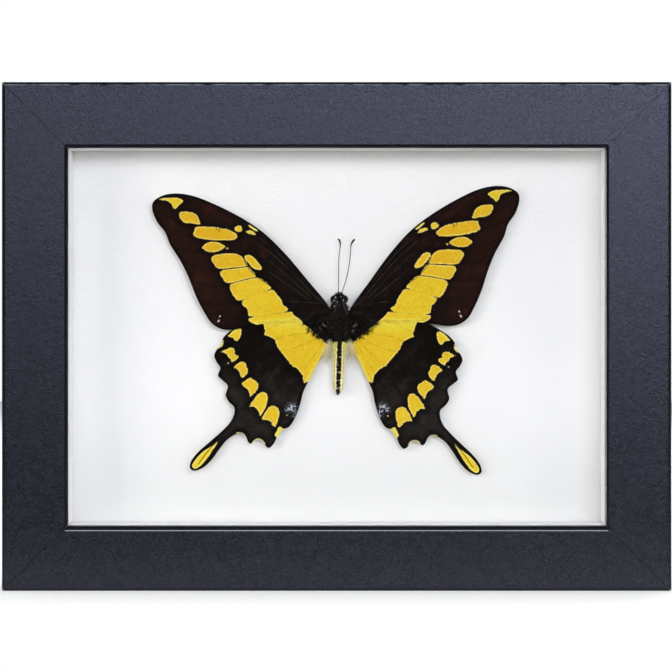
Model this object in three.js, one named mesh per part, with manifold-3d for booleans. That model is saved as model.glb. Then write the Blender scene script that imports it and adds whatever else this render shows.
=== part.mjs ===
// Framed butterfly specimen: a shallow black box frame, glazed in front, that holds one spread
// swallowtail butterfly over a white board.
// Millimetres, +Z up. The glazed front faces -Y, and +X is on a viewer's right.
// Origin: the middle of the bottom edge, half way from front to back.

import * as THREE from 'three';
import { mergeVertices } from 'three/addons/utils/BufferGeometryUtils.js';
import Module from 'manifold-3d';

const wasm = await Module();
wasm.setup();

// ---------------------------------------------------------------- driving dimensions

// Frame moulding
const FRAME_WIDTH = 200;
const FRAME_HEIGHT = 152;
const FRAME_DEPTH = 28;
const RAIL_FACE = 19.4;
const LIP_DEPTH = 5;
const REBATE_WIDTH = 6;
const OUTER_EDGE_RADIUS = 1.2;
const SIGHT_EDGE_RADIUS = 0.8;
const BACK_EDGE_RADIUS = 0.5;
const MITRE_GAP = 0.1;

// Stack behind the lip
const SEAT_GAP = 0.3;
const EDGE_PLAY = 0.4;
const GLASS_THICKNESS = 2;
const SPACER_DEPTH = 11.7;
const BOARD_THICKNESS = 3;
const BACKING_THICKNESS = 2.5;

// Framer's points
const POINT_THICKNESS = 0.5;
const POINT_WIDTH = 6;
const POINT_TAIL = 3;
const POINT_REACH = 9;
const POINT_SPREAD = 50;

// Hanger, its nails and the wall bumpers
const HANGER_LENGTH = 46;
const HANGER_HEIGHT = 8;
const HANGER_THICKNESS = 0.8;
const HANGER_RISE = 0.8;
const HANGER_TOOTH_COUNT = 12;
const HANGER_TOOTH_DEPTH = 1.4;
const HANGER_FLAT_END = 8;
const HANGER_RAMP = 2;
const HANGER_CUT_DEPTH = 8;
const NAIL_SPREAD = 19.5;
const NAIL_RADIUS = 0.6;
const NAIL_LENGTH = 9;
const NAIL_HEAD_RADIUS = 1.6;
const NAIL_HEAD_THICKNESS = 0.5;
const NAIL_CLEARANCE = 0.3;
const BUMPER_RADIUS = 5;
const BUMPER_THICKNESS = 1.7;
const BUMPER_INSET = 15;

// Butterfly: where it sits, and its body
const BODY_X = 0.8;
const BODY_Y = 0.9;
const THORAX_Z = 79.75;
const THORAX_HALF = [2.8, 2.6, 6.1];
const HEAD_Z = 87.65;
const HEAD_HALF = [1.7, 1.6, 1.45];
const EYE_RADIUS = 1.15;
const EYE_SPREAD = 1.55;
const EYE_DROP = 0.35;
const ABDOMEN_TOP_Z = 73.3;
const ABDOMEN_LENGTH = 15;
const ABDOMEN_RADIUS = 1.7;
const ABDOMEN_LEAN_DEG = 1.3;
const ANTENNA_RADIUS = 0.17;
const CLUB_RADIUS = 0.32;
const LEG_RADIUS = 0.2;
const PROBOSCIS_RADIUS = 0.6;
const PROBOSCIS_WIRE = 0.2;
const PROBOSCIS_DROP = 0.95;
const PAD_SIZE = [3, 0.5, 7];

// Butterfly: wings
const WING_THICKNESS = 0.3;
const FOREWING_Y = 0.5;
const HINDWING_Y = 1.15;
const WING_DROOP_DEG = 1.2;
const OUTLINE_STEPS = 3;

// ---------------------------------------------------------------- worked-out places

const BACK_PROUD = SEAT_GAP + BUMPER_THICKNESS;
const FRONT_Y = -(FRAME_DEPTH + BACK_PROUD) / 2;
const BACK_Y = FRONT_Y + FRAME_DEPTH;
const CENTRE_Z = FRAME_HEIGHT / 2;
const SIGHT_WIDTH = FRAME_WIDTH - 2 * RAIL_FACE;
const SIGHT_HEIGHT = FRAME_HEIGHT - 2 * RAIL_FACE;
const STACK_WIDTH = SIGHT_WIDTH + 2 * (REBATE_WIDTH - EDGE_PLAY);
const STACK_HEIGHT = SIGHT_HEIGHT + 2 * (REBATE_WIDTH - EDGE_PLAY);
const GLASS_Y = FRONT_Y + LIP_DEPTH + SEAT_GAP;
const SPACER_Y = GLASS_Y + GLASS_THICKNESS + SEAT_GAP;
const BOARD_Y = SPACER_Y + SPACER_DEPTH + SEAT_GAP;
const BACKING_Y = BOARD_Y + BOARD_THICKNESS + SEAT_GAP;
const POINT_Y = BACKING_Y + BACKING_THICKNESS + SEAT_GAP;

// ---------------------------------------------------------------- wing outlines
// Hand-picked points on the right wings, in millimetres: x out from the wing root, y up.
// A closed curve runs through them. The left wings are the same shapes mirrored.

const FOREWING_OUTLINE = [
  [0, 0.2], [6.1, 8.9], [12.1, 17.1], [18.2, 23.9], [24.2, 28.6], [33.3, 34], [39.4, 36.7],
  [44.5, 37.6], [48.5, 37], [50.9, 35.4], [51.3, 33.4], [50.1, 29.4], [47.9, 26.1], [46.7, 22.4],
  [43.8, 17], [41.7, 11.8], [39.8, 5.8], [37.6, 0.8], [35.8, -2.3], [33.2, -4.2], [30, -4.8],
  [24.5, -4.1], [20.3, -3.6], [9.1, -3.5], [1.5, -3.9], [-0.7, -2],
];

const HINDWING_OUTLINE = [
  // leading edge, under the forewing
  [0.9, 1.5], [4.5, 3.6], [10.6, 5.2], [16.7, 4.5], [20.6, 3.3], [24.2, 0.6],
  // outer margin with its three blunt teeth
  [27.3, -1.2], [30.3, -3.3], [31.8, -5.2], [31.9, -6.6], [33.1, -8], [34.1, -10.3],
  [33.3, -12.2], [32.1, -13.9], [32.7, -16.3], [31.5, -17.4], [29.6, -19.2], [30.1, -22],
  [29.1, -23.9], [27.4, -25.5], [27.3, -27.5],
  // tail
  [28.3, -30], [30.9, -33], [34, -36], [37.6, -39.5], [39.6, -42.4], [39.8, -44.4],
  [38.6, -45.1], [36.1, -44.2], [33.6, -41.8], [31.2, -38.2], [29.1, -35.4], [26.8, -33.7],
  // two teeth between the tail and the inner margin
  [24.7, -33], [23.4, -34.2], [22.8, -35.6], [21.9, -36.2], [20.8, -35.2], [19.5, -34.7],
  [18.1, -35.4], [17.3, -36.8], [16.3, -37.2], [14.9, -35.7], [14.1, -33.8], [12.4, -31.4],
  [10.8, -30.7],
  // inner margin, back up to the root
  [9.1, -28], [7.6, -23.5], [6.9, -20], [5.3, -16.2], [3.6, -12.4], [1.2, -7.6], [0, -5.3],
  [0.1, -2],
];

// Each wing: its root in the frame, and how it was turned and stretched when it was spread.
const WINGS = [
  {
    name: 'forewing_right', outline: FOREWING_OUTLINE, side: 1,
    root: [4.05, FOREWING_Y, 84], turn: 0, stretch: 1.0055,
  },
  {
    name: 'forewing_left', outline: FOREWING_OUTLINE, side: -1,
    root: [-2.35, FOREWING_Y, 84.9], turn: -4, stretch: 1.0055,
  },
  {
    name: 'hindwing_right', outline: HINDWING_OUTLINE, side: 1,
    root: [4.05, HINDWING_Y, 79.2], turn: 0, stretch: 1.005,
  },
  {
    name: 'hindwing_left', outline: HINDWING_OUTLINE, side: -1,
    root: [-2.2, HINDWING_Y, 79], turn: 2.7, stretch: 1.015,
  },
];

// Antennae: hand-picked points from the head to the club's tip, x and z in the frame.
const ANTENNAE = [
  {
    name: 'antenna_left',
    route: [[0.56, 89.4], [0.6, 93], [0.7, 100], [1.05, 103], [1.1, 104.3], [0.85, 105.2], [0.4, 105.7]],
  },
  {
    name: 'antenna_right',
    route: [[1.6, 89.4], [2.8, 93], [3.8, 97.6], [4.25, 102], [4.4, 103.8], [4.95, 104.9], [5.55, 105.6]],
  },
];

// Legs: folded beside the thorax, under the right wings. x out from the body's middle, y back, z up.
const LEGS = [
  { name: 'front', route: [[2.2, 1.7, 2.9], [3.9, 1.9, 4.3], [4.7, 2.3, 2.2], [3.6, 2.8, 0.1]] },
  { name: 'middle', route: [[3, 1.6, 0.8], [5, 1.8, 1.4], [5.7, 2.3, -2.6], [4.9, 2.8, -5]] },
  { name: 'hind', route: [[2.9, 1.6, -1.8], [4.3, 1.9, -3], [3.5, 2.3, -7.4], [2.6, 2.6, -10.6]] },
];

// ---------------------------------------------------------------- materials

function finish(color, roughness, metalness = 0) {
  return new THREE.MeshStandardMaterial({ color, roughness, metalness });
}

const FINISHES = {
  moulding: () => finish(0x34353a, 0.45),
  glass: () => new THREE.MeshStandardMaterial({ color: 0xf2f7f5, roughness: 0.03, transparent: true, opacity: 0.2 }),
  whiteBoard: () => finish(0xf1f2f3, 0.9),
  hardboard: () => finish(0x7a5c40, 0.85),
  steel: () => finish(0xb4b6b8, 0.35, 1),
  brass: () => finish(0xb99a58, 0.35, 1),
  rubber: () => finish(0x2a2a2b, 0.8),
  wing: () => finish(0x2a1c12, 0.8),
  fur: () => finish(0x1b1815, 0.95),
  abdomen: () => finish(0xcfc47a, 0.9),
  antenna: () => finish(0x17130f, 0.5),
};

// ---------------------------------------------------------------- helpers

const specimen = new THREE.Group();

function addPiece(name, geometry, material, parent = specimen) {
  const piece = new THREE.Mesh(geometry, material);
  piece.name = name;
  parent.add(piece);
  return piece;
}

function toSolid(geometry) {
  const bare = geometry.clone();
  bare.deleteAttribute('normal');
  bare.deleteAttribute('uv');
  const merged = mergeVertices(bare, 1e-4);
  return new wasm.Manifold(new wasm.Mesh({
    numProp: 3,
    vertProperties: new Float32Array(merged.attributes.position.array),
    triVerts: new Uint32Array(merged.index.array),
  }));
}

function toGeometry(solid) {
  const mesh = solid.getMesh();
  const geometry = new THREE.BufferGeometry();
  geometry.setAttribute('position', new THREE.BufferAttribute(new Float32Array(mesh.vertProperties), 3));
  geometry.setIndex(new THREE.BufferAttribute(new Uint32Array(mesh.triVerts), 1));
  geometry.computeVertexNormals();
  return geometry;
}

function cutFrom(geometry, cutters) {
  let solid = toSolid(geometry);
  for (const cutter of cutters) {
    solid = solid.subtract(toSolid(cutter));
  }
  return toGeometry(solid);
}

function joinAll(geometries) {
  const [first, ...rest] = geometries.map(toSolid);
  return toGeometry(rest.reduce((whole, next) => whole.add(next), first));
}

function extrude(shape, depth, curveSegments = 6) {
  return new THREE.ExtrudeGeometry(shape, { depth, bevelEnabled: false, curveSegments });
}

// A solid rod along a smooth path: `sides` flats round it, and `steps` lengths along it.
function rodAlong(points, radius, sides, steps) {
  const path = new THREE.CatmullRomCurve3(points, false, 'centripetal');
  const section = new THREE.Shape();
  for (let side = 0; side < sides; side += 1) {
    const angle = (side / sides) * 2 * Math.PI;
    const corner = [radius * Math.cos(angle), radius * Math.sin(angle)];
    if (side === 0) {
      section.moveTo(...corner);
    } else {
      section.lineTo(...corner);
    }
  }
  section.closePath();
  return new THREE.ExtrudeGeometry(section, { steps, bevelEnabled: false, extrudePath: path });
}

// ---------------------------------------------------------------- frame rails
// A rail is drawn in its own frame: x inward from the outer edge, y back from the front face,
// z along the rail. Turned about the frame's middle, the same drawing makes all four.

const RAILS = [
  { name: 'bottom', turn: 0, length: FRAME_WIDTH, reach: FRAME_HEIGHT / 2, points: [-POINT_SPREAD, POINT_SPREAD] },
  { name: 'left', turn: Math.PI / 2, length: FRAME_HEIGHT, reach: FRAME_WIDTH / 2, points: [0] },
  { name: 'top', turn: Math.PI, length: FRAME_WIDTH, reach: FRAME_HEIGHT / 2, points: [-POINT_SPREAD, POINT_SPREAD] },
  { name: 'right', turn: 1.5 * Math.PI, length: FRAME_HEIGHT, reach: FRAME_WIDTH / 2, points: [0] },
];

function railSection() {
  const rebateWall = RAIL_FACE - REBATE_WIDTH;
  const section = new THREE.Shape();
  section.moveTo(0, FRAME_DEPTH - BACK_EDGE_RADIUS);
  section.lineTo(0, OUTER_EDGE_RADIUS);
  section.absarc(OUTER_EDGE_RADIUS, OUTER_EDGE_RADIUS, OUTER_EDGE_RADIUS, Math.PI, 1.5 * Math.PI, false);
  section.lineTo(RAIL_FACE - SIGHT_EDGE_RADIUS, 0);
  section.absarc(
    RAIL_FACE - SIGHT_EDGE_RADIUS, SIGHT_EDGE_RADIUS, SIGHT_EDGE_RADIUS, 1.5 * Math.PI, 2 * Math.PI, false,
  );
  section.lineTo(RAIL_FACE, LIP_DEPTH);
  section.lineTo(rebateWall, LIP_DEPTH);
  section.lineTo(rebateWall, FRAME_DEPTH);
  section.lineTo(BACK_EDGE_RADIUS, FRAME_DEPTH);
  section.closePath();
  return section;
}

function mitredRail(length) {
  const geometry = extrude(railSection(), length);
  const position = geometry.attributes.position;
  for (let i = 0; i < position.count; i += 1) {
    const inset = position.getX(i) + MITRE_GAP;
    const nearEnd = position.getZ(i) < length / 2;
    position.setZ(i, nearEnd ? inset - length / 2 : length / 2 - inset);
  }
  return geometry;
}

// From a rail's own frame to its place on the frame's bottom edge, centred on the frame's middle.
function seatOnRail(geometry, reach) {
  const inward = new THREE.Vector3(0, 0, 1);
  const backward = new THREE.Vector3(0, 1, 0);
  const along = new THREE.Vector3(-1, 0, 0);
  geometry.applyMatrix4(new THREE.Matrix4().makeBasis(inward, backward, along));
  geometry.translate(0, 0, -reach);
  return geometry;
}

function pointSlot(along) {
  const wall = RAIL_FACE - REBATE_WIDTH;
  const depth = POINT_TAIL + SEAT_GAP;
  const slot = new THREE.BoxGeometry(depth + 1, POINT_THICKNESS + 2 * SEAT_GAP, POINT_WIDTH + 2 * SEAT_GAP);
  slot.translate(wall - depth + (depth + 1) / 2, POINT_Y - FRONT_Y + POINT_THICKNESS / 2, along);
  return slot;
}

function nailHole(along) {
  const radius = NAIL_RADIUS + NAIL_CLEARANCE;
  const hole = new THREE.CylinderGeometry(radius, radius, NAIL_LENGTH + 1, 12);
  hole.translate((RAIL_FACE - REBATE_WIDTH) / 2, FRAME_DEPTH - (NAIL_LENGTH + 1) / 2 + 0.5, along);
  return hole;
}

function framersPoint(along) {
  const wall = RAIL_FACE - REBATE_WIDTH;
  const half = POINT_WIDTH / 2;
  const shape = new THREE.Shape();
  shape.moveTo(-POINT_TAIL, -half / 2);
  shape.lineTo(0, -half);
  shape.lineTo(POINT_REACH - half, -half);
  shape.absarc(POINT_REACH - half, 0, half, -Math.PI / 2, Math.PI / 2, false);
  shape.lineTo(0, half);
  shape.lineTo(-POINT_TAIL, half / 2);
  shape.closePath();
  const point = extrude(shape, POINT_THICKNESS, 5);
  point.rotateX(Math.PI / 2);
  point.translate(wall, POINT_Y - FRONT_Y + POINT_THICKNESS, along);
  return point;
}

for (const rail of RAILS) {
  const side = new THREE.Group();
  side.position.set(0, FRONT_Y, CENTRE_Z);
  side.rotation.y = rail.turn;
  specimen.add(side);
  const cutters = rail.points.map(pointSlot);
  if (rail.name === 'top') {
    cutters.push(nailHole(-NAIL_SPREAD), nailHole(NAIL_SPREAD));
  }
  const geometry = cutFrom(mitredRail(rail.length), cutters);
  addPiece(`rail_${rail.name}`, seatOnRail(geometry, rail.reach), FINISHES.moulding(), side);
  rail.points.forEach((along, index) => {
    const suffix = rail.points.length > 1 ? `_${index + 1}` : '';
    const point = seatOnRail(framersPoint(along), rail.reach);
    addPiece(`point_${rail.name}${suffix}`, point, FINISHES.steel(), side);
  });
}

// ---------------------------------------------------------------- stack in the rebate

function panel(name, width, thickness, height, frontY, material) {
  const piece = addPiece(name, new THREE.BoxGeometry(width, thickness, height), material);
  piece.position.set(0, frontY + thickness / 2, CENTRE_Z);
  return piece;
}

panel('glass', STACK_WIDTH, GLASS_THICKNESS, STACK_HEIGHT, GLASS_Y, FINISHES.glass());
panel('mount_board', STACK_WIDTH, BOARD_THICKNESS, STACK_HEIGHT, BOARD_Y, FINISHES.whiteBoard());
panel('backing_board', STACK_WIDTH, BACKING_THICKNESS, STACK_HEIGHT, BACKING_Y, FINISHES.hardboard());

const SPACER_WIDTH = REBATE_WIDTH - EDGE_PLAY;
for (const [name, end] of [['spacer_top', 1], ['spacer_bottom', -1]]) {
  const strip = panel(name, STACK_WIDTH, SPACER_DEPTH, SPACER_WIDTH, SPACER_Y, FINISHES.whiteBoard());
  strip.position.z += end * (SIGHT_HEIGHT + SPACER_WIDTH) / 2;
}
for (const [name, end] of [['spacer_left', -1], ['spacer_right', 1]]) {
  const height = SIGHT_HEIGHT - 2 * SEAT_GAP;
  const strip = panel(name, SPACER_WIDTH, SPACER_DEPTH, height, SPACER_Y, FINISHES.whiteBoard());
  strip.position.x += end * (SIGHT_WIDTH + SPACER_WIDTH) / 2;
}

// ---------------------------------------------------------------- back: hanger, nails, bumpers

// The hanger's middle stands off the wood, so that a wall nail slips in under its teeth.
function hangerGeometry() {
  const half = HANGER_LENGTH / 2;
  const bend = half - HANGER_FLAT_END;
  const underside = [
    [-half, 0], [-bend - HANGER_RAMP, 0], [-bend, HANGER_RISE],
    [bend, HANGER_RISE], [bend + HANGER_RAMP, 0], [half, 0],
  ];
  const outside = underside.map(([x, y]) => [x, y + HANGER_THICKNESS]).reverse();
  const section = new THREE.Shape([...underside, ...outside].map(([x, y]) => new THREE.Vector2(x, y)));
  const strip = extrude(section, HANGER_HEIGHT).translate(0, 0, -HANGER_HEIGHT / 2);
  return cutFrom(strip, [...hangerHoles(), ...hangerNotches(bend)]);
}

function hangerHoles() {
  const radius = NAIL_RADIUS + NAIL_CLEARANCE;
  return [-1, 1].map((end) => (
    new THREE.CylinderGeometry(radius, radius, HANGER_CUT_DEPTH, 12).translate(end * NAIL_SPREAD, 0, 0)
  ));
}

// The notches between the teeth, cut up into the strip's lower edge.
function hangerNotches(bend) {
  const pitch = (2 * bend) / HANGER_TOOTH_COUNT;
  const low = -HANGER_HEIGHT / 2;
  const notches = [];
  for (let tooth = 0; tooth < HANGER_TOOTH_COUNT; tooth += 1) {
    const middle = -bend + (tooth + 0.5) * pitch;
    const notch = new THREE.Shape();
    notch.moveTo(middle - 0.45 * pitch, low - 0.1);
    notch.lineTo(middle + 0.45 * pitch, low - 0.1);
    notch.lineTo(middle, low + HANGER_TOOTH_DEPTH);
    notch.closePath();
    notches.push(extrude(notch, HANGER_CUT_DEPTH).rotateX(Math.PI / 2).translate(0, HANGER_CUT_DEPTH / 2, 0));
  }
  return notches;
}

const HANGER_Z = FRAME_HEIGHT - (RAIL_FACE - REBATE_WIDTH) / 2;
const hanger = addPiece('hanger', hangerGeometry(), FINISHES.brass());
hanger.position.set(0, BACK_Y + SEAT_GAP / 2, HANGER_Z);

// A lathe turns about +Y, and here the head ends up on the +Y side.
function nailGeometry() {
  const headBack = SEAT_GAP / 2 + HANGER_THICKNESS + SEAT_GAP / 2;
  const profile = [
    [0, headBack - NAIL_LENGTH], [NAIL_RADIUS, headBack - NAIL_LENGTH + 1.5], [NAIL_RADIUS, headBack],
    [NAIL_HEAD_RADIUS, headBack], [NAIL_HEAD_RADIUS, headBack + 0.6 * NAIL_HEAD_THICKNESS],
    [0.7 * NAIL_HEAD_RADIUS, headBack + NAIL_HEAD_THICKNESS], [0, headBack + NAIL_HEAD_THICKNESS],
  ];
  return new THREE.LatheGeometry(profile.map(([x, y]) => new THREE.Vector2(x, y)), 12);
}

function bumperGeometry() {
  const shoulder = 0.55 * BUMPER_THICKNESS;
  const profile = [
    [0, 0], [BUMPER_RADIUS, 0], [BUMPER_RADIUS, shoulder], [0.92 * BUMPER_RADIUS, 0.85 * BUMPER_THICKNESS],
    [0.78 * BUMPER_RADIUS, BUMPER_THICKNESS], [0, BUMPER_THICKNESS],
  ];
  return new THREE.LatheGeometry(profile.map(([x, y]) => new THREE.Vector2(x, y)), 28);
}

for (const [side, end] of [['left', -1], ['right', 1]]) {
  const nail = addPiece(`hanger_nail_${side}`, nailGeometry(), FINISHES.steel());
  nail.position.set(end * NAIL_SPREAD, BACK_Y, HANGER_Z);
  const bumper = addPiece(`bumper_${side}`, bumperGeometry(), FINISHES.rubber());
  bumper.position.set(
    end * (FRAME_WIDTH / 2 - BUMPER_INSET), BACK_Y + SEAT_GAP, (RAIL_FACE - REBATE_WIDTH) / 2,
  );
}

// ---------------------------------------------------------------- butterfly: wings

// The outline as it lies when spread: mirrored for a left wing, turned in its plane, stretched.
function spreadOutline(wing) {
  const turn = THREE.MathUtils.degToRad(wing.turn);
  return wing.outline.map(([x, y]) => new THREE.Vector3(
    wing.side * wing.stretch * (x * Math.cos(turn) - y * Math.sin(turn)),
    wing.stretch * (x * Math.sin(turn) + y * Math.cos(turn)),
    0,
  ));
}

function wingGeometry(wing) {
  const curve = new THREE.CatmullRomCurve3(spreadOutline(wing), true, 'centripetal');
  const edge = curve.getPoints(wing.outline.length * OUTLINE_STEPS);
  edge.pop();
  const shape = new THREE.Shape(edge.map((point) => new THREE.Vector2(point.x, point.y)));
  const geometry = extrude(shape, WING_THICKNESS);
  geometry.translate(0, 0, -WING_THICKNESS / 2);
  return geometry.rotateX(Math.PI / 2);
}

for (const wing of WINGS) {
  const piece = addPiece(wing.name, wingGeometry(wing), FINISHES.wing());
  piece.position.set(...wing.root);
  piece.rotation.z = wing.side * THREE.MathUtils.degToRad(WING_DROOP_DEG);
}

// ---------------------------------------------------------------- butterfly: body

function ellipsoid(half, around = 20, along = 14) {
  const geometry = new THREE.SphereGeometry(1, around, along);
  return geometry.scale(...half);
}

const thorax = addPiece('thorax', ellipsoid(THORAX_HALF), FINISHES.fur());
thorax.position.set(BODY_X, BODY_Y, THORAX_Z);

function headGeometry() {
  const eyes = [-1, 1].map((side) => {
    const eye = new THREE.SphereGeometry(EYE_RADIUS, 14, 10);
    return eye.translate(side * EYE_SPREAD, 0, -EYE_DROP);
  });
  return joinAll([ellipsoid(HEAD_HALF, 16, 12), ...eyes]);
}

const head = addPiece('head', headGeometry(), FINISHES.fur());
head.position.set(BODY_X, BODY_Y, HEAD_Z);

// The abdomen hangs from its waist: seven rings, of which the last ones narrow to the tip.
function abdomenGeometry() {
  const ringCount = 7;
  const taperStart = 0.6;
  const profile = [[0, 0], [0.7 * ABDOMEN_RADIUS, -0.25]];
  for (let ring = 0; ring < ringCount; ring += 1) {
    const middle = (ring + 0.5) / ringCount;
    const taper = Math.max(0, middle - taperStart) / (1 - taperStart);
    const girth = ABDOMEN_RADIUS * (1 - 0.5 * taper ** 2);
    profile.push([0.96 * girth, -ABDOMEN_LENGTH * (middle - 0.38 / ringCount)]);
    profile.push([girth, -ABDOMEN_LENGTH * middle]);
    profile.push([0.94 * girth, -ABDOMEN_LENGTH * (middle + 0.4 / ringCount)]);
  }
  profile.push([0.25 * ABDOMEN_RADIUS, -ABDOMEN_LENGTH]);
  profile.push([0, -ABDOMEN_LENGTH]);
  profile.reverse();
  const geometry = new THREE.LatheGeometry(profile.map(([x, y]) => new THREE.Vector2(x, y)), 16);
  return geometry.rotateX(Math.PI / 2);
}

const abdomen = addPiece('abdomen', abdomenGeometry(), FINISHES.abdomen());
abdomen.position.set(BODY_X, BODY_Y, ABDOMEN_TOP_Z);
abdomen.rotation.y = THREE.MathUtils.degToRad(ABDOMEN_LEAN_DEG);

// A thin shaft whose last part swells into the club.
function antennaGeometry(points) {
  const steps = 36;
  const clubShare = 0.14;
  const geometry = rodAlong(points, ANTENNA_RADIUS, 6, steps);
  const centres = new THREE.CatmullRomCurve3(points, false, 'centripetal').getSpacedPoints(steps);
  const position = geometry.attributes.position;
  const vertex = new THREE.Vector3();
  for (let i = 0; i < position.count; i += 1) {
    vertex.fromBufferAttribute(position, i);
    const distances = centres.map((centre) => centre.distanceToSquared(vertex));
    const nearest = distances.indexOf(Math.min(...distances));
    const intoClub = THREE.MathUtils.smoothstep(nearest / steps, 1 - clubShare, 1 - clubShare / 2);
    const swell = THREE.MathUtils.lerp(1, CLUB_RADIUS / ANTENNA_RADIUS, intoClub);
    vertex.sub(centres[nearest]).multiplyScalar(swell).add(centres[nearest]);
    position.setXYZ(i, vertex.x, vertex.y, vertex.z);
  }
  return geometry;
}

for (const antenna of ANTENNAE) {
  const points = antenna.route.map(([x, z]) => new THREE.Vector3(x, BODY_Y, z));
  addPiece(antenna.name, antennaGeometry(points), FINISHES.antenna());
}

for (const [side, end] of [['left', -1], ['right', 1]]) {
  for (const leg of LEGS) {
    const points = leg.route.map(([x, y, z]) => new THREE.Vector3(BODY_X + end * x, BODY_Y + y, THORAX_Z + z));
    addPiece(`leg_${leg.name}_${side}`, rodAlong(points, LEG_RADIUS, 6, 14), FINISHES.antenna());
  }
}

// The proboscis lies rolled up behind the face: a thick ring stands in for its turns.
const coil = new THREE.TorusGeometry(PROBOSCIS_RADIUS, PROBOSCIS_WIRE, 8, 20);
coil.rotateY(Math.PI / 2);
const proboscis = addPiece('proboscis', coil, FINISHES.antenna());
proboscis.position.set(BODY_X, BODY_Y + HEAD_HALF[1] + PROBOSCIS_DROP, HEAD_Z + 0.2);

const pad = addPiece('mounting_pad', new THREE.BoxGeometry(...PAD_SIZE), FINISHES.whiteBoard());
pad.position.set(BODY_X, BOARD_Y - SEAT_GAP - PAD_SIZE[1] / 2, THORAX_Z - 0.5);

export default specimen;
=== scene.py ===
"""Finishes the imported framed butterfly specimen: mouldings, glass, boards, hardware and swallowtail.

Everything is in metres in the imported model's own frame: +Z up, with the glazed front towards -Y.
Sizes in this file are written in millimetres and multiplied by MM where they reach Blender.
"""

import logging
import math
from collections.abc import Iterator, Sequence
from contextlib import contextmanager
from dataclasses import dataclass
from enum import Enum

import bpy
import numpy as np
from mathutils import Matrix, Vector
from mathutils.geometry import delaunay_2d_cdt


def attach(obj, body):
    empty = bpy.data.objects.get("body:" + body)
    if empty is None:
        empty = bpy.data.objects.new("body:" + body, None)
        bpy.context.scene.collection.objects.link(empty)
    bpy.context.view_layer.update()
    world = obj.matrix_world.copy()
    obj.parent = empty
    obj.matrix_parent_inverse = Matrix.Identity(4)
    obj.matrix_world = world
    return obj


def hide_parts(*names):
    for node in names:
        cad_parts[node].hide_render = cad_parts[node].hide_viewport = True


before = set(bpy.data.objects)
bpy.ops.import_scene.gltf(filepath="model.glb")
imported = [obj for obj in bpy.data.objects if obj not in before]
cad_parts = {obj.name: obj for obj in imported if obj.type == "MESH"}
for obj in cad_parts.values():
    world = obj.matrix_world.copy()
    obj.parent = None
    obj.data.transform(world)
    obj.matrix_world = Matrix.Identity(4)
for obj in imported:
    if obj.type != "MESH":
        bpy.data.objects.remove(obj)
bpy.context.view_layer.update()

LOG = logging.getLogger("specimen")
MM = 0.001
BODY = "root"
WELD_GAP = 0.000001
FAR_AWAY = 9.0
TINY = 1e-12

Colour = tuple[float, float, float, float]
Point = tuple[float, float]
Point3 = tuple[float, float, float]
Line = tuple[Point, ...]
Value = "Wire | float"


def srgb(red: float, green: float, blue: float) -> Colour:
    """Turns an 8-bit display colour into the linear colour that shaders take."""
    shares = [level / 255 for level in (red, green, blue)]
    return (*(((c + 0.055) / 1.055) ** 2.4 if c > 0.0404 else c / 12.92 for c in shares), 1.0)


# ---------------------------------------------------------------- shader toolkit


class Wire:
    """A shader socket that takes part in Python arithmetic, adding the Math node each operator needs."""

    def __init__(self, shader: "Shader", socket: bpy.types.NodeSocket) -> None:
        """Wraps one output socket of a shader's node."""
        self.shader = shader
        self.socket = socket

    def _math(self, operation: str, *values: Value) -> "Wire":
        """Adds one Math node fed with the given values and wraps what comes out."""
        return self.shader.wire("Math", dict(enumerate(values)), operation=operation)

    def __add__(self, other: Value) -> "Wire":
        """Adds two values."""
        return self._math("ADD", self, other)

    __radd__ = __add__

    def __sub__(self, other: Value) -> "Wire":
        """Takes the other value away."""
        return self._math("SUBTRACT", self, other)

    def __rsub__(self, other: Value) -> "Wire":
        """Takes this value away from a number."""
        return self._math("SUBTRACT", other, self)

    def __mul__(self, other: Value) -> "Wire":
        """Multiplies two values."""
        return self._math("MULTIPLY", self, other)

    def most(self, other: Value) -> "Wire":
        """Gives the larger of two values."""
        return self._math("MAXIMUM", self, other)

    def fraction(self) -> "Wire":
        """Gives what is left past the last whole number."""
        return self._math("FRACT", self)

    def size(self) -> "Wire":
        """Gives the value without its sign."""
        return self._math("ABSOLUTE", self)

    def between(self, low: float, high: float) -> "Wire":
        """Eases from 0 at the first value to 1 at the second, which may be the smaller one."""
        ends = {"Value": self, "From Min": low, "From Max": high}
        return self.shader.wire("MapRange", ends, interpolation_type="SMOOTHSTEP")


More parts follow.
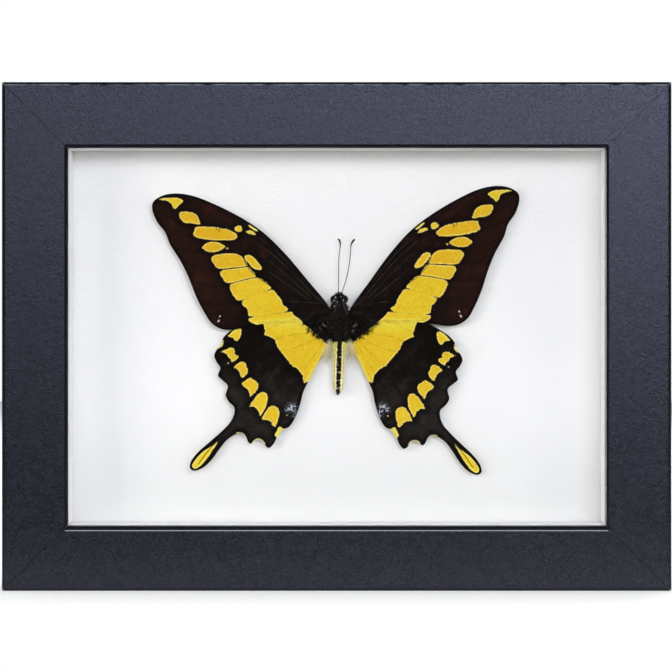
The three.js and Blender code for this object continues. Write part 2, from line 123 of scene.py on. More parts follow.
class Shader:
    """The node tree of one material or of the world, built up by method calls."""

    def __init__(self, name: str, world: bool = False) -> None:
        """Starts an empty material, or an empty world, of that name.

        Args:
            name: Its name.
            world: Whether it is a world.
        """
        self.owner = (bpy.data.worlds if world else bpy.data.materials).new(name)
        self.owner.use_nodes = True
        self.tree = self.owner.node_tree
        self.tree.nodes.clear()

    def wire(self, kind: str, inputs: dict, output: int | str = 0, **settings: object) -> Wire | None:
        """Adds a node of any kind.

        Args:
            kind: The node's Blender type, after "ShaderNode".
            inputs: Values or wires for its inputs, by name or by number.
            output: The output that is wrapped.
            settings: Its properties, which are set first.

        Returns:
            The wrapped output, or nothing for a node without outputs.
        """
        made = self.tree.nodes.new(f"ShaderNode{kind}")
        for key, value in settings.items():
            setattr(made, key, value)
        for key, value in inputs.items():
            if isinstance(value, Wire):
                self.tree.links.new(value.socket, made.inputs[key])
            else:
                made.inputs[key].default_value = value
        return Wire(self, made.outputs[output]) if made.outputs else None

    def attribute(self, name: str) -> Wire:
        """Reads a number stored on the mesh's points."""
        return self.wire("Attribute", {}, "Fac", attribute_name=name)

    def place(self, squeeze: Point3 = (1, 1, 1), centre: Point3 = (0, 0, 0), turn: float = 0.0) -> Wire:
        """Gives the place in the object's frame, in millimetres from a centre.

        Args:
            squeeze: How many times finer a pattern is along each axis.
            centre: The point, in millimetres, that becomes the origin.
            turn: A turn about the Y axis through that point, in degrees.

        Returns:
            A vector wire.
        """
        spot = self.wire("TexCoord", {}, "Object")
        moved = self.wire("Mapping", {"Vector": spot, "Location": [-c * MM for c in centre]})
        scale = [s / MM for s in squeeze]
        return self.wire("Mapping", {"Vector": moved, "Rotation": (0, math.radians(turn), 0), "Scale": scale})

    def axes(self, place: Wire) -> list[Wire]:
        """Splits a vector wire into its three numbers."""
        return [Wire(self, part) for part in self.wire("SeparateXYZ", {0: place}).socket.node.outputs]

    def noise(self, size: float, detail: float = 3.0, place: Wire | None = None, rough: float = 0.55) -> Wire:
        """Adds soft noise about 0.5, with blotches of that size in millimetres and that many finer layers."""
        inputs = {"Vector": place or self.place(), "Scale": 1 / size, "Detail": detail, "Roughness": rough}
        return self.wire("TexNoise", inputs)

    def cells(self, size: float, place: Wire | None = None, output: str = "Distance") -> Wire:
        """Adds a pattern of small cells, and gives the distance to their centres or their random colours."""
        return self.wire("TexVoronoi", {"Vector": place or self.place(), "Scale": 1 / size}, output)

    def layers(self, colour: Wire | Colour, *coats: tuple[Wire, Wire | Colour]) -> Wire:
        """Lays coats over a colour, each given as how much of it shows, from 0 to 1, and its colour.

        Args:
            colour: The colour underneath.
            coats: Each coat's share, from 0 to 1, and its colour.

        Returns:
            The colour that shows.
        """
        for share, coat in coats:
            colour = self.wire("Mix", {0: share, 6: colour, 7: coat}, 2, data_type="RGBA")
        return colour

    def ramp(self, factor: Wire, stops: Sequence[tuple[float, Colour]]) -> Wire:
        """Runs a value from 0 to 1 through a row of colours at the places given.

        Args:
            factor: The value, from 0 to 1.
            stops: The places, from 0 to 1, and their colours.

        Returns:
            The colour at the value.
        """
        made = self.wire("ValToRGB", {0: factor})
        elements = made.socket.node.color_ramp.elements
        while len(elements) < len(stops):
            elements.new(0.5)
        for element, (place, colour) in zip(elements, stops):
            element.position = place
            element.color = colour
        return made

    def bump(self, height: Wire, depth: float, strength: float = 1.0) -> Wire:
        """Turns a height from 0 to 1 into a surface normal, for a relief of that many millimetres."""
        return self.wire("Bump", {"Height": height, "Distance": depth * MM, "Strength": strength})

    def principled(
        self,
        colour: Wire | Colour,
        roughness: Value,
        normal: Wire | None = None,
        specular: float = 0.5,
        **more: object,
    ) -> bpy.types.Material:
        """Ends the tree in one Principled surface.

        Args:
            colour: Its base colour.
            roughness: Its roughness.
            normal: Its normal, where there is relief.
            specular: Its specular level.
            more: Values for its other sockets, by name.

        Returns:
            The finished material.
        """
        inputs = {"Base Color": colour, "Roughness": roughness, "Specular IOR Level": specular, **more}
        if normal is not None:
            inputs["Normal"] = normal
        self.wire("OutputMaterial", {"Surface": self.wire("BsdfPrincipled", inputs)})
        return self.owner


# ---------------------------------------------------------------- finishes of the frame and the back


@dataclass(frozen=True)
class SatinLacquer:
    """Satin black lacquer on the wooden mouldings, with a fine speckle and a faint blue cast.

    Painted shade makes it black, and rougher, on the front's outer edge, round the opening, in a band under it and
    on the left and top lip walls; two thin lines of painted highlight run under the opening and just under the top
    edge.
    """

    half_width: float
    half_height: float
    face: float
    front: float
    deep: Colour = srgb(9, 9, 10)
    light: Colour = srgb(31, 31, 34)
    violet: Colour = srgb(32, 29, 38)
    dust: Colour = srgb(120, 120, 126)
    # colours of the painted shade and of the painted highlight
    black: Colour = srgb(5, 5, 7)
    painted_highlight: Colour = srgb(150, 152, 164)
    roughness: float = 0.27
    dullness: float = 0.5
    sheen: Colour = (0.72, 0.75, 1.0, 1.0)
    speckle_size: float = 0.45
    mottle_size: float = 3.2
    dust_spacing: float = 6.5
    # how far below the opening's bottom edge and below the top edge the painted highlight lines run, in
    # millimetres
    lip_line: float = 1.35
    top_line: float = 0.88

    def edges(self, s: Shader) -> tuple[Wire, Wire]:
        """Finds the painted shade and the painted highlight lines.

        Args:
            s: The shader it is built in.

        Returns:
            How much painted shade and how much painted highlight the surface takes, each from 0 to 1.
        """
        x, y, z = s.axes(s.place())
        sight, top = self.half_width - self.face, 2 * self.half_height
        past_side = x.size() - sight
        past_sight = past_side.most((z - self.half_height).size() - self.half_height + self.face)
        on_front = y.between(self.front + 0.9, self.front + 0.5)
        # painted shade: a dark band on the bottom rail just under the opening
        low_lip_shade = (z - self.face + 0.6).size().between(0.55, 0.4) * past_sight.between(1.3, 1.1)
        # painted shade: the left and top lip walls
        shaded = (-sight - x).most(z + self.face - top).between(-0.6, -0.2)
        # painted shade: the front's outer edge
        rim = past_sight.between(self.face - 0.68, self.face - 0.5)
        # painted shade: black round the opening's sight edge, on the left and top walls, along the outer edge and
        # in the bottom band
        black = (past_sight.between(0.8, 0.5) * on_front.most(shaded)).most(rim.most(low_lip_shade) * on_front)
        # painted highlight: a thin light line on the bottom rail under the opening
        lip = (z - self.face + self.lip_line).size().between(0.2, 0.06) * past_side.between(0.6, 0.3)
        # painted highlight: a broken light line just under the top edge, at 0.6 strength
        upper = (z - top + self.top_line).size().between(0.24, 0.08) * s.noise(5).between(0.35, 0.6)
        return black, lip.most(upper * 0.6) * on_front

    def make(self) -> bpy.types.Material:
        """Builds the material.

        Returns:
            The finished material.
        """
        s = Shader("satin_lacquer")
        black, painted_highlight = self.edges(s)
        speckle, mottle = s.noise(self.speckle_size), s.noise(self.mottle_size, 4)
        colour = s.layers(
            self.deep,
            (speckle.between(0.3, 0.7), self.light),
            (mottle.between(0.45, 0.75) * 0.3, self.violet),
            (s.cells(self.dust_spacing).between(0.035, 0.02) * 0.5, self.dust),
            # painted shade and painted highlight over the lacquer's own colour
            (black, self.black),
            (painted_highlight, self.painted_highlight),
        )
        rough = self.roughness + (mottle - 0.5) * 0.06 + (speckle - 0.5) * 0.1 + black * self.dullness
        peel = s.bump(speckle * 0.6 + s.noise(1.3, 2) * 0.4, 0.12)
        return s.principled(colour, rough, peel, 0.42, **{"Specular Tint": self.sheen})


@dataclass(frozen=True)
class PaneGlass:
    """Clear low-reflection picture glass with a trace of haze."""

    tint: Colour = (0.99, 0.995, 0.994, 1.0)
    coating: Colour = (0.25, 0.25, 0.3, 1.0)
    refraction: float = 1.45
    haze: float = 0.008

    def make(self) -> bpy.types.Material:
        """Builds the material.

        Returns:
            The finished material.
        """
        s = Shader("pane_glass")
        clear = {"IOR": self.refraction, "Specular Tint": self.coating, "Transmission Weight": 1.0}
        return s.principled(self.tint, s.noise(40, 2).between(0.4, 0.8) * self.haze, **clear)


@dataclass(frozen=True)
class PaperBoard:
    """Matt white paper face of the mounting board and of the spacer strips, with painted shade that makes it
    darker lower down.
    """

    name: str = "white_paper"
    white: Colour = srgb(246, 244, 241)
    shade: Colour = srgb(241, 239, 237)
    # painted shade: the colour it darkens to lower down, eased in between these two heights in millimetres
    painted_low_shade: Colour = srgb(226, 225, 222)
    painted_shade_heights: Point = (64, 18)

    def make(self) -> bpy.types.Material:
        """Builds the material.

        Returns:
            The finished material.
        """
        s = Shader(self.name)
        fibre = s.noise(0.8, 4, s.place((0.35, 1, 1)))
        colour = s.layers(
            self.white,
            (fibre.between(0.4, 0.7) * 0.6, self.shade),
            (s.noise(22, 2).between(0.4, 0.7) * 0.3, self.shade),
            # painted shade towards the bottom
            (s.axes(s.place())[2].between(*self.painted_shade_heights), self.painted_low_shade),
        )
        return s.principled(colour, 0.82 + (fibre - 0.5) * 0.1, s.bump(s.noise(0.25, 2), 0.01, 0.5), 0.2)


@dataclass(frozen=True)
class FoamPad:
    """Pale closed-cell foam under the body."""

    dark: Colour = srgb(214, 214, 210)
    light: Colour = srgb(240, 240, 236)

    def make(self) -> bpy.types.Material:
        """Builds the material.

        Returns:
            The finished material.
        """
        s = Shader("foam")
        bubble = s.cells(0.35)
        return s.principled(s.layers(self.dark, (bubble.between(0.2, 0.7), self.light)), 0.9, s.bump(bubble, 0.12))


@dataclass(frozen=True)
class RawHardboard:
    """Brown pressed-fibre backing with darker flecks and long surface fibres."""

    dark: Colour = srgb(92, 64, 42)
    middle: Colour = srgb(128, 93, 62)
    light: Colour = srgb(158, 120, 84)
    fleck: Colour = srgb(66, 45, 30)
    cloud: Colour = srgb(112, 82, 56)

    def make(self) -> bpy.types.Material:
        """Builds the material.

        Returns:
            The finished material.
        """
        s = Shader("raw_hardboard")
        fibre, cross = (s.noise(0.7, 5, s.place(squeeze), 0.65) for squeeze in ((0.25, 1, 1), (1, 1, 0.3)))
        fleck = s.noise(1.6, 6, rough=0.7)
        colour = s.layers(
            s.ramp((fibre + cross) * 0.5, [(0.3, self.dark), (0.5, self.middle), (0.68, self.light)]),
            (fleck.between(0.62, 0.7) * 0.7, self.fleck),
            (s.noise(28).between(0.4, 0.7) * 0.35, self.cloud),
        )
        return s.principled(colour, 0.8 - fibre * 0.15, s.bump(fibre * 0.6 + fleck * 0.4, 0.06, 0.7), 0.3)


@dataclass(frozen=True)
class PlatedMetal:
    """A thin plating on steel, with crystal spangle, fine scratches and dulling."""

    name: str
    bright: Colour
    dull: Colour
    roughness: float = 0.34

    def make(self) -> bpy.types.Material:
        """Builds the material.

        Returns:
            The finished material.
        """
        s = Shader(self.name)
        spangle = s.wire("SeparateColor", {0: s.cells(1.4, output="Color")})
        scratch = s.noise(0.5, 3, s.place((0.12, 1, 1)))
        tarnish = s.noise(3.5, 4)
        colour = s.layers(self.bright, (spangle * 0.25 + tarnish.between(0.45, 0.75) * 0.6, self.dull))
        rough = self.roughness + spangle * 0.08 + tarnish.between(0.4, 0.8) * 0.15 + (scratch - 0.5) * 0.12
        return s.principled(colour, rough, s.bump(scratch, 0.01, 0.6), Metallic=1.0)


@dataclass(frozen=True)
class MattRubber:
    """Matt black rubber of the wall bumpers, with a little bloom."""

    dark: Colour = srgb(34, 34, 35)
    light: Colour = srgb(58, 58, 60)

    def make(self) -> bpy.types.Material:
        """Builds the material.

        Returns:
            The finished material.
        """
        s = Shader("matt_rubber")
        bloom = s.noise(2.5, 4)
        colour = s.layers(self.dark, (bloom.between(0.4, 0.75), self.light))
        return s.principled(colour, 0.72 + (bloom - 0.5) * 0.2, s.bump(s.noise(0.3, 2), 0.03, 0.6))


# ---------------------------------------------------------------- finishes of the butterfly


@dataclass(frozen=True)
class WingScales:
    """Powdery wing scales: a dark ground, yellow patches with ragged edges, veins, dust and frost.

    The mesh carries, for each point, its distances in millimetres to the edges of the yellow patches
    (positive inside), to the veins, creases, streaks, frost marks and scrapes, and to the margin.
    """

    name: str
    root_dark: Colour
    tip_dark: Colour
    sheen_dark: Colour
    rim_dark: Colour = srgb(10, 7, 7)
    streak_grey: Colour = srgb(74, 72, 62)
    pale: Colour = srgb(227, 215, 82)
    main: Colour = srgb(225, 196, 43)
    deep: Colour = srgb(218, 168, 27)
    fleck: Colour = srgb(206, 146, 16)
    powder: Colour = srgb(240, 214, 84)
    patch_rim: Colour = srgb(242, 220, 124)
    vein_brown: Colour = srgb(84, 50, 14)
    frost_blue: Colour = srgb(182, 190, 200)
    bare_white: Colour = srgb(234, 222, 210)
    underside: Colour = srgb(196, 180, 118)

    def ground(self, s: Shader, grain: Wire, mottle: Wire) -> Wire:
        """Colours the dark ground, with noise as fine as the scales and noise of a few millimetres.

        Args:
            s: The shader it is built in.
            grain: Noise as fine as the scales.
            mottle: Noise of a few millimetres.

        Returns:
            The ground's colour.
        """
        shift = s.attribute("shift") + (mottle - 0.5) * 0.5
        fade = shift.between(-0.1, 0.9) * 0.65 + 0.35
        near_gold = s.attribute("yellow") + (mottle - 0.5) * 1.5
        streak = s.attribute("streak").between(0.24, 0.03) * s.noise(3.5, 2).between(0.3, 0.6)
        return s.layers(
            self.root_dark,
            (shift.between(0.25, 0.8), self.tip_dark),
            (mottle.between(0.5, 0.7) * fade * 0.62, self.sheen_dark),
            (s.noise(0.9).between(0.52, 0.7) * fade * 0.42, self.sheen_dark),
            (grain.between(0.52, 0.75) * fade * 0.5, self.sheen_dark),
            (grain.between(0.45, 0.3) * 0.6, self.rim_dark),
            (near_gold.between(-2.8, -0.4) * 0.75, self.rim_dark),
            (s.attribute("vein").between(0.32, 0.06) * 0.5, self.rim_dark),
            (streak * 0.35, self.streak_grey),
            ((s.attribute("edge") + (mottle - 0.5)).between(1.3, 0.35), self.rim_dark),
        )

    def gold(self, s: Shader, grain: Wire, mottle: Wire) -> Wire:
        """Colours the yellow patches, with the same two noises.

        Args:
            s: The shader it is built in.
            grain: Noise as fine as the scales.
            mottle: Noise of a few millimetres.

        Returns:
            The patches' colour.
        """
        tone = s.attribute("tone") + (mottle - 0.5) * 0.5 - s.attribute("edge").between(1.5, 0.7) * 0.55
        powder, blotch = s.noise(0.7, rough=0.75), s.noise(1.6, rough=0.6)
        rim = (s.attribute("yellow") + (powder - 0.5) * 0.5).between(0.5, 0.14)
        crease = s.attribute("crease").between(0.24, 0.03) * s.noise(1.8, 2).between(0.35, 0.65)
        return s.layers(
            s.ramp(tone * 0.5 + 0.25, [(0.0, self.pale), (0.3, self.main), (0.75, self.deep)]),
            (blotch.between(0.5, 0.7) * 0.45, self.deep),
            (blotch.between(0.46, 0.3) * 0.3, self.pale),
            (powder.between(0.52, 0.72) * 0.4, self.fleck),
            (powder.between(0.46, 0.3) * 0.3, self.powder),
            (grain.between(0.55, 0.8) * 0.2, self.fleck),
            (rim * 0.65, self.patch_rim),
            (s.attribute("vein").between(0.24, 0.05) * 0.85, self.vein_brown),
            (crease * 0.32, self.vein_brown),
        )

    def make(self) -> bpy.types.Material:
        """Builds the material.

        Returns:
            The finished material.
        """
        s = Shader(self.name)
        grain, ragged, mottle = s.noise(0.16, 2), s.noise(0.55), s.noise(2.6, 4)
        hairy = s.attribute("edge").between(1.0, 2.5)
        edge = s.attribute("yellow") + (ragged - 0.5) * (hairy * 0.5 + 0.25) + (grain - 0.5) * 0.5
        frost = s.attribute("frost").between(0.32, 0.06) * s.noise(0.6).between(0.44, 0.56)
        haze = s.attribute("frost").between(1.3, 0.4) * s.noise(0.35).between(0.54, 0.64) * 0.3
        colour = s.layers(
            self.ground(s, grain, mottle),
            (edge.between(-0.06, 0.1), self.gold(s, grain, mottle)),
            (frost.most(haze), self.frost_blue),
            (s.attribute("bare").between(0.28, 0.12) * ragged.between(0.34, 0.48), self.bare_white),
            (s.attribute("under") * s.attribute("vein").between(0.1, 0.5) * 0.75, self.underside),
        )
        relief = s.cells(0.11, s.place((1, 1, 0.6))) * 0.6 + grain * 0.4
        return s.principled(colour, 0.66 + (grain - 0.5) * 0.2, s.bump(relief, 0.02, 0.6), 0.05)


@dataclass(frozen=True)
class HairCoat:
    """Fine hair whose strands run from one colour to another, each by its own stored shade."""

    name: str
    dark: Colour
    light: Colour

    def make(self) -> bpy.types.Material:
        """Builds the material.

        Returns:
            The finished material.
        """
        s = Shader(self.name)
        clump = s.noise(0.9)
        shade = (s.attribute("shade") + (clump - 0.5) * 0.8).between(0.1, 1.0)
        return s.principled(s.layers(self.dark, (shade, self.light)), 0.62 + (clump - 0.5) * 0.2, specular=0.1)


@dataclass(frozen=True)
class RingedAbdomen:
    """Pale yellow scaled sides with a black stripe down the back and thin dark side lines."""

    centre: Point3
    lean: float
    length: float
    rings: int
    cream: Colour = srgb(242, 232, 146)
    sandy: Colour = srgb(232, 218, 156)
    low_pale: Colour = srgb(242, 238, 190)
    lemon: Colour = srgb(232, 226, 112)
    side_line: Colour = srgb(112, 104, 52)
    stripe: Colour = srgb(17, 13, 12)
    speck: Colour = srgb(186, 170, 160)

    def make(self) -> bpy.types.Material:
        """Builds the material.

        Returns:
            The finished material.
        """
        s = Shader("abdomen_scales")
        across, _, along = s.axes(s.place(centre=self.centre, turn=-self.lean))
        fine, blotch = s.noise(0.22), s.noise(0.7)
        down = along * (-1 / self.length)
        joint = ((down * self.rings).fraction() - 0.5).size() * 2
        wander = (blotch - 0.5) * 1.3 + (fine - 0.5) * 0.9
        half = 0.74 - down.between(0.35, 1.0) * 0.14 - joint.between(0.7, 1.0) * 0.12 + wander
        stripe = (across.size() - half).between(0.08, -0.08)
        line = ((across.size() - 1.3).size() + wander * 0.3).between(0.16, 0.04) * blotch.between(0.4, 0.52)
        aside = across + (s.noise(1.7, 1) - 0.5) * 4
        speck = joint.between(0.66, 0.9) * aside.size().between(0.36, 0.14)
        speck = speck * s.noise(1.1, 2).between(0.44, 0.54) * down.between(0.15, 0.3)
        colour = s.layers(
            self.cream,
            (fine.between(0.35, 0.7), self.sandy),
            (down.between(0.3, 0.9) * 0.7, self.low_pale),
            (down.between(0.22, 0.02), self.lemon),
            (line * 0.85, self.side_line),
            (stripe.most((down + wander * 0.03).between(0.93, 0.955)), self.stripe),
            (speck * 0.9, self.speck),
        )
        return s.principled(colour, 0.68 + (fine - 0.5) * 0.2, s.bump(fine, 0.03, 0.7), 0.1)


@dataclass(frozen=True)
class EyeLens:
    """Glossy brown-black compound eye with a fine net of facets."""

    dark: Colour = srgb(12, 8, 7)
    brown: Colour = srgb(46, 28, 20)

    def make(self) -> bpy.types.Material:
        """Builds the material.

        Returns:
            The finished material.
        """
        s = Shader("eye_lens")
        facet = s.cells(0.07)
        colour = s.layers(self.dark, (s.noise(0.9, 2).between(0.4, 0.7), self.brown))
        return s.principled(colour, 0.34 + facet * 0.15, s.bump(facet, 0.012, 0.5), 0.22)


@dataclass(frozen=True)
class DryCuticle:
    """Horn-like cuticle of the legs, antennae and proboscis."""

    name: str = "dry_cuticle"
    dark: Colour = srgb(26, 21, 18)
    light: Colour = srgb(66, 56, 48)

    def make(self) -> bpy.types.Material:
        """Builds the material.

        Returns:
            The finished material.
        """
        s = Shader(self.name)
        ring, patch = s.noise(0.35, 2), s.noise(1.8)
        colour = s.layers(self.dark, (patch.between(0.4, 0.75) * 0.6 + ring.between(0.5, 0.8) * 0.3, self.light))
        return s.principled(colour, 0.42 + (ring - 0.5) * 0.2, s.bump(ring, 0.02, 0.6))


# ---------------------------------------------------------------- the modelling bench


class Bench:
    """Modelling steps that are done by hand in Blender, with nothing else selected."""

    @staticmethod
    def clear() -> None:
        """Leaves edit mode and deselects everything."""
        if bpy.context.object and bpy.context.object.mode != "OBJECT":
            bpy.ops.object.mode_set(mode="OBJECT")
        for thing in bpy.context.selected_objects:
            thing.select_set(False)

    @staticmethod
    def pick(piece: bpy.types.Object) -> None:
        """Selects one object alone and makes it active.

        Args:
            piece: The object.
        """
        Bench.clear()
        piece.select_set(True)
        bpy.context.view_layer.objects.active = piece

    @staticmethod
    def add(name: str, data: bpy.types.ID) -> bpy.types.Object:
        """Puts a new object with that data in the scene.

        Args:
            name: The object's name.
            data: Its mesh, curve, lamp or camera.

        Returns:
            The new object.
        """
        made = bpy.data.objects.new(name, data)
        bpy.context.scene.collection.objects.link(made)
        return made

    @staticmethod
    @contextmanager
    def editing(piece: bpy.types.Object) -> Iterator[None]:
        """Opens an object in edit mode with everything selected, and leaves edit mode afterwards.

        Args:
            piece: The object.

        Returns:
            A context in which the object is open.
        """
        Bench.pick(piece)
        bpy.ops.object.mode_set(mode="EDIT")
        bpy.ops.mesh.select_all(action="SELECT")
        yield
        bpy.ops.object.mode_set(mode="OBJECT")

    @staticmethod
    def settle(piece: bpy.types.Object) -> bpy.types.Object:
        """Moves an object's place, turn and scale into its mesh, with its faces pointing outwards.

        Args:
            piece: The object.

        Returns:
            The same object.
        """
        Bench.pick(piece)
        bpy.ops.object.transform_apply(location=True, rotation=True, scale=True)
        with Bench.editing(piece):
            bpy.ops.mesh.remove_doubles(threshold=WELD_GAP)
            bpy.ops.mesh.normals_make_consistent(inside=False)
        return piece

    @staticmethod
    def smooth(piece: bpy.types.Object, angle: float = 60) -> bpy.types.Object:
        """Shades an object smooth except over edges sharper than an angle, in degrees.

        Args:
            piece: The object.
            angle: The sharpest angle that is shaded smooth, in degrees.

        Returns:
            The same object.
        """
        Bench.pick(piece)
        bpy.ops.object.shade_smooth_by_angle(angle=math.radians(angle))
        return piece

    @staticmethod
    def apply(piece: bpy.types.Object, kind: str, **settings: object) -> bpy.types.Object:
        """Adds a modifier with those settings to an object and applies it.

        Args:
            piece: The object.
            kind: The modifier's Blender type.
            settings: Its properties.

        Returns:
            The same object.
        """
        Bench.pick(piece)
        modifier = piece.modifiers.new(kind.lower(), kind)
        for key, value in settings.items():
            setattr(modifier, key, value)
        bpy.ops.object.modifier_apply(modifier=modifier.name)
        return piece

    @staticmethod
    def mesh_piece(name: str, places: np.ndarray, faces: Sequence[Sequence[int]]) -> bpy.types.Object:
        """Makes an object from points in millimetres and faces.

        Args:
            name: The piece's name.
            places: Its points, in millimetres.
            faces: The points of each face, by number.

        Returns:
            The new piece.
        """
        mesh = bpy.data.meshes.new(name)
        mesh.from_pydata((places * MM).tolist(), [], faces)
        mesh.validate()
        return Bench.add(name, mesh)

    @staticmethod
    def store(piece: bpy.types.Object, name: str, values: np.ndarray) -> None:
        """Stores one number for each point of an object's mesh."""
        held = piece.data.attributes.new(name, "FLOAT", "POINT")
        held.data.foreach_set("value", np.asarray(values, np.float32))

    @staticmethod
    def rod(name: str, route: np.ndarray, radii: np.ndarray, sides: int = 3) -> bpy.types.Object:
        """Makes a round rod along a route, closed at both ends.

        Args:
            name: The piece's name.
            route: The middle line's points, in millimetres.
            radii: The radius at each point, in millimetres.
            sides: Blender's bevel resolution, which gives 2 * sides + 4 flats.

        Returns:
            The rod.
        """
        curve = bpy.data.curves.new(name, "CURVE")
        curve.dimensions = "3D"
        curve.bevel_depth = MM
        curve.bevel_resolution = sides
        curve.use_fill_caps = True
        spline = curve.splines.new("POLY")
        spline.points.add(len(route) - 1)
        for point, place, radius in zip(spline.points, route, radii):
            point.co = (*(float(c) * MM for c in place), 1)
            point.radius = float(radius)
        Bench.pick(Bench.add(name, curve))
        bpy.ops.object.convert(target="MESH")
        return Bench.smooth(Bench.settle(bpy.context.object), 50)


@dataclass(frozen=True)
class Dressing:
    """Hands a finished piece its material and its body, hides the imported nodes that it stands for, and logs its
    slot.
    """

    material: bpy.types.Material
    slot: str

    def on(self, piece: bpy.types.Object, replaces: Sequence[str] = ()) -> None:
        """Dresses one piece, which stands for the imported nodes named.

        Args:
            piece: The piece, in place.
            replaces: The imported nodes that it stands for.
        """
        piece.data.materials.clear()
        piece.data.materials.append(self.material)
        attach(piece, BODY)
        if replaces:
            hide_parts(*replaces)
        LOG.info("%s: %d faces, %s", piece.name, len(piece.data.polygons), self.slot)


# ---------------------------------------------------------------- curves and distances


def through(points: Sequence[Sequence[float]], closed: bool = False, spacing: float = 0.3) -> np.ndarray:
    """Runs a smooth curve through given points.

    Args:
        points: The points, in millimetres.
        closed: Whether the curve returns to its first point.
        spacing: The distance between the points that come out.

    Returns:
        Points evenly spaced along the curve. A closed curve doesn't repeat its first point.
    """
    knots = np.asarray(points, float)
    count = len(knots)
    line = []
    for index in range(count if closed else count - 1):
        start, end = knots[index], knots[(index + 1) % count]
        before = knots[index - 1] if closed or index > 0 else 2 * start - end
        after = knots[(index + 2) % count] if closed or index + 2 < count else 2 * end - start
        pairs = ((before, start), (start, end), (end, after))
        gap_0, gap_1, gap_2 = (math.sqrt(np.linalg.norm(b - a)) for a, b in pairs)
        leave = ((start - before) / gap_0 - (end - before) / (gap_0 + gap_1) + (end - start) / gap_1) * gap_1
        arrive = ((end - start) / gap_1 - (after - start) / (gap_1 + gap_2) + (after - end) / gap_2) * gap_1
        bend = 3 * (end - start) - 2 * leave - arrive
        twist = 2 * (start - end) + leave + arrive
        line += [start + leave * t + bend * t**2 + twist * t**3 for t in np.linspace(0, 1, 12, endpoint=False)]
    line = np.asarray([*line, knots[0] if closed else knots[-1]])
    travelled = np.concatenate([[0], np.cumsum(np.linalg.norm(np.diff(line, axis=0), axis=1))])
    at = np.linspace(0, travelled[-1], max(3, round(travelled[-1] / spacing)), endpoint=not closed)
    return np.stack([np.interp(at, travelled, column) for column in line.T], 1)


def distance_to(points: np.ndarray, line: np.ndarray, closed: bool = False) -> np.ndarray:
    """Measures how far each point in a plane is from a line, which may return to its first point.

    Args:
        points: The points.
        line: The line's own points.
        closed: Whether the line returns to its first point.

    Returns:
        One distance for each point.
    """
    nearest = np.full(len(points), np.inf)
    ends = np.roll(line, -1, axis=0) if closed else line[1:]
    for a, b in zip(line, ends):
        run = b - a
        along = np.clip(((points - a) @ run) / max(run @ run, TINY), 0, 1)
        away = points - a - along[:, None] * run
        nearest = np.minimum(nearest, np.einsum("ij,ij->i", away, away))
    return np.sqrt(nearest)


def is_inside(points: np.ndarray, loop: np.ndarray) -> np.ndarray:
    """Tells which points in a plane lie inside a closed loop.

    Args:
        points: The points.
        loop: The loop's own points.

    Returns:
        Whether each point is inside.
    """
    inside = np.zeros(len(points), bool)
    for a, b in zip(loop, np.roll(loop, -1, axis=0)):
        crosses = (a[1] > points[:, 1]) != (b[1] > points[:, 1])
        rise = b[1] - a[1] if abs(b[1] - a[1]) > TINY else TINY
        inside ^= crosses & (points[:, 0] < (b[0] - a[0]) * (points[:, 1] - a[1]) / rise + a[0])
    return inside


def eased(values: np.ndarray, low: float, high: float) -> np.ndarray:
    """Rises smoothly from 0 to 1 as values go from low to high."""
    t = np.clip((values - low) / (high - low), 0, 1)
    return t * t * (3 - 2 * t)


def spots(x: np.ndarray | float, y: np.ndarray | float, z: np.ndarray | float) -> np.ndarray:
    """Puts rows of numbers together as points; a single number goes to every point."""
    return np.stack(np.broadcast_arrays(x, y, z), 1)


def unit(ways: np.ndarray) -> np.ndarray:
    """Gives each direction a length of one."""
    return ways / np.linalg.norm(ways, axis=1)[:, None]


# ---------------------------------------------------------------- wing patterns


class Side(Enum):
    """A wing's side of the body, as a viewer sees it."""

    RIGHT = 1
    LEFT = -1


@dataclass(frozen=True)
class Patch:
    """A yellow patch: its outline, and how deep its yellow is, from 0 for lemon to 1 for orange."""

    outline: Line
    tone: float


@dataclass(frozen=True)
class WingPattern:
    """One wing drawn as on the right side, in millimetres from its root: x outwards, y up.

    The yellow turns paler between the two heights of lemon, and the dark ground changes from its root
    colour to its tip colour along the line of shift.
    """

    outline: Line
    patches: tuple[Patch, ...]
    veins: tuple[Line, ...]
    creases: tuple[Line, ...]
    shift: tuple[Point, Point]
    bare: tuple[Line, ...]
    streaks: tuple[Line, ...] = ()
    frost: tuple[Line, ...] = ()
    lemon: Point = (900.0, 901.0)


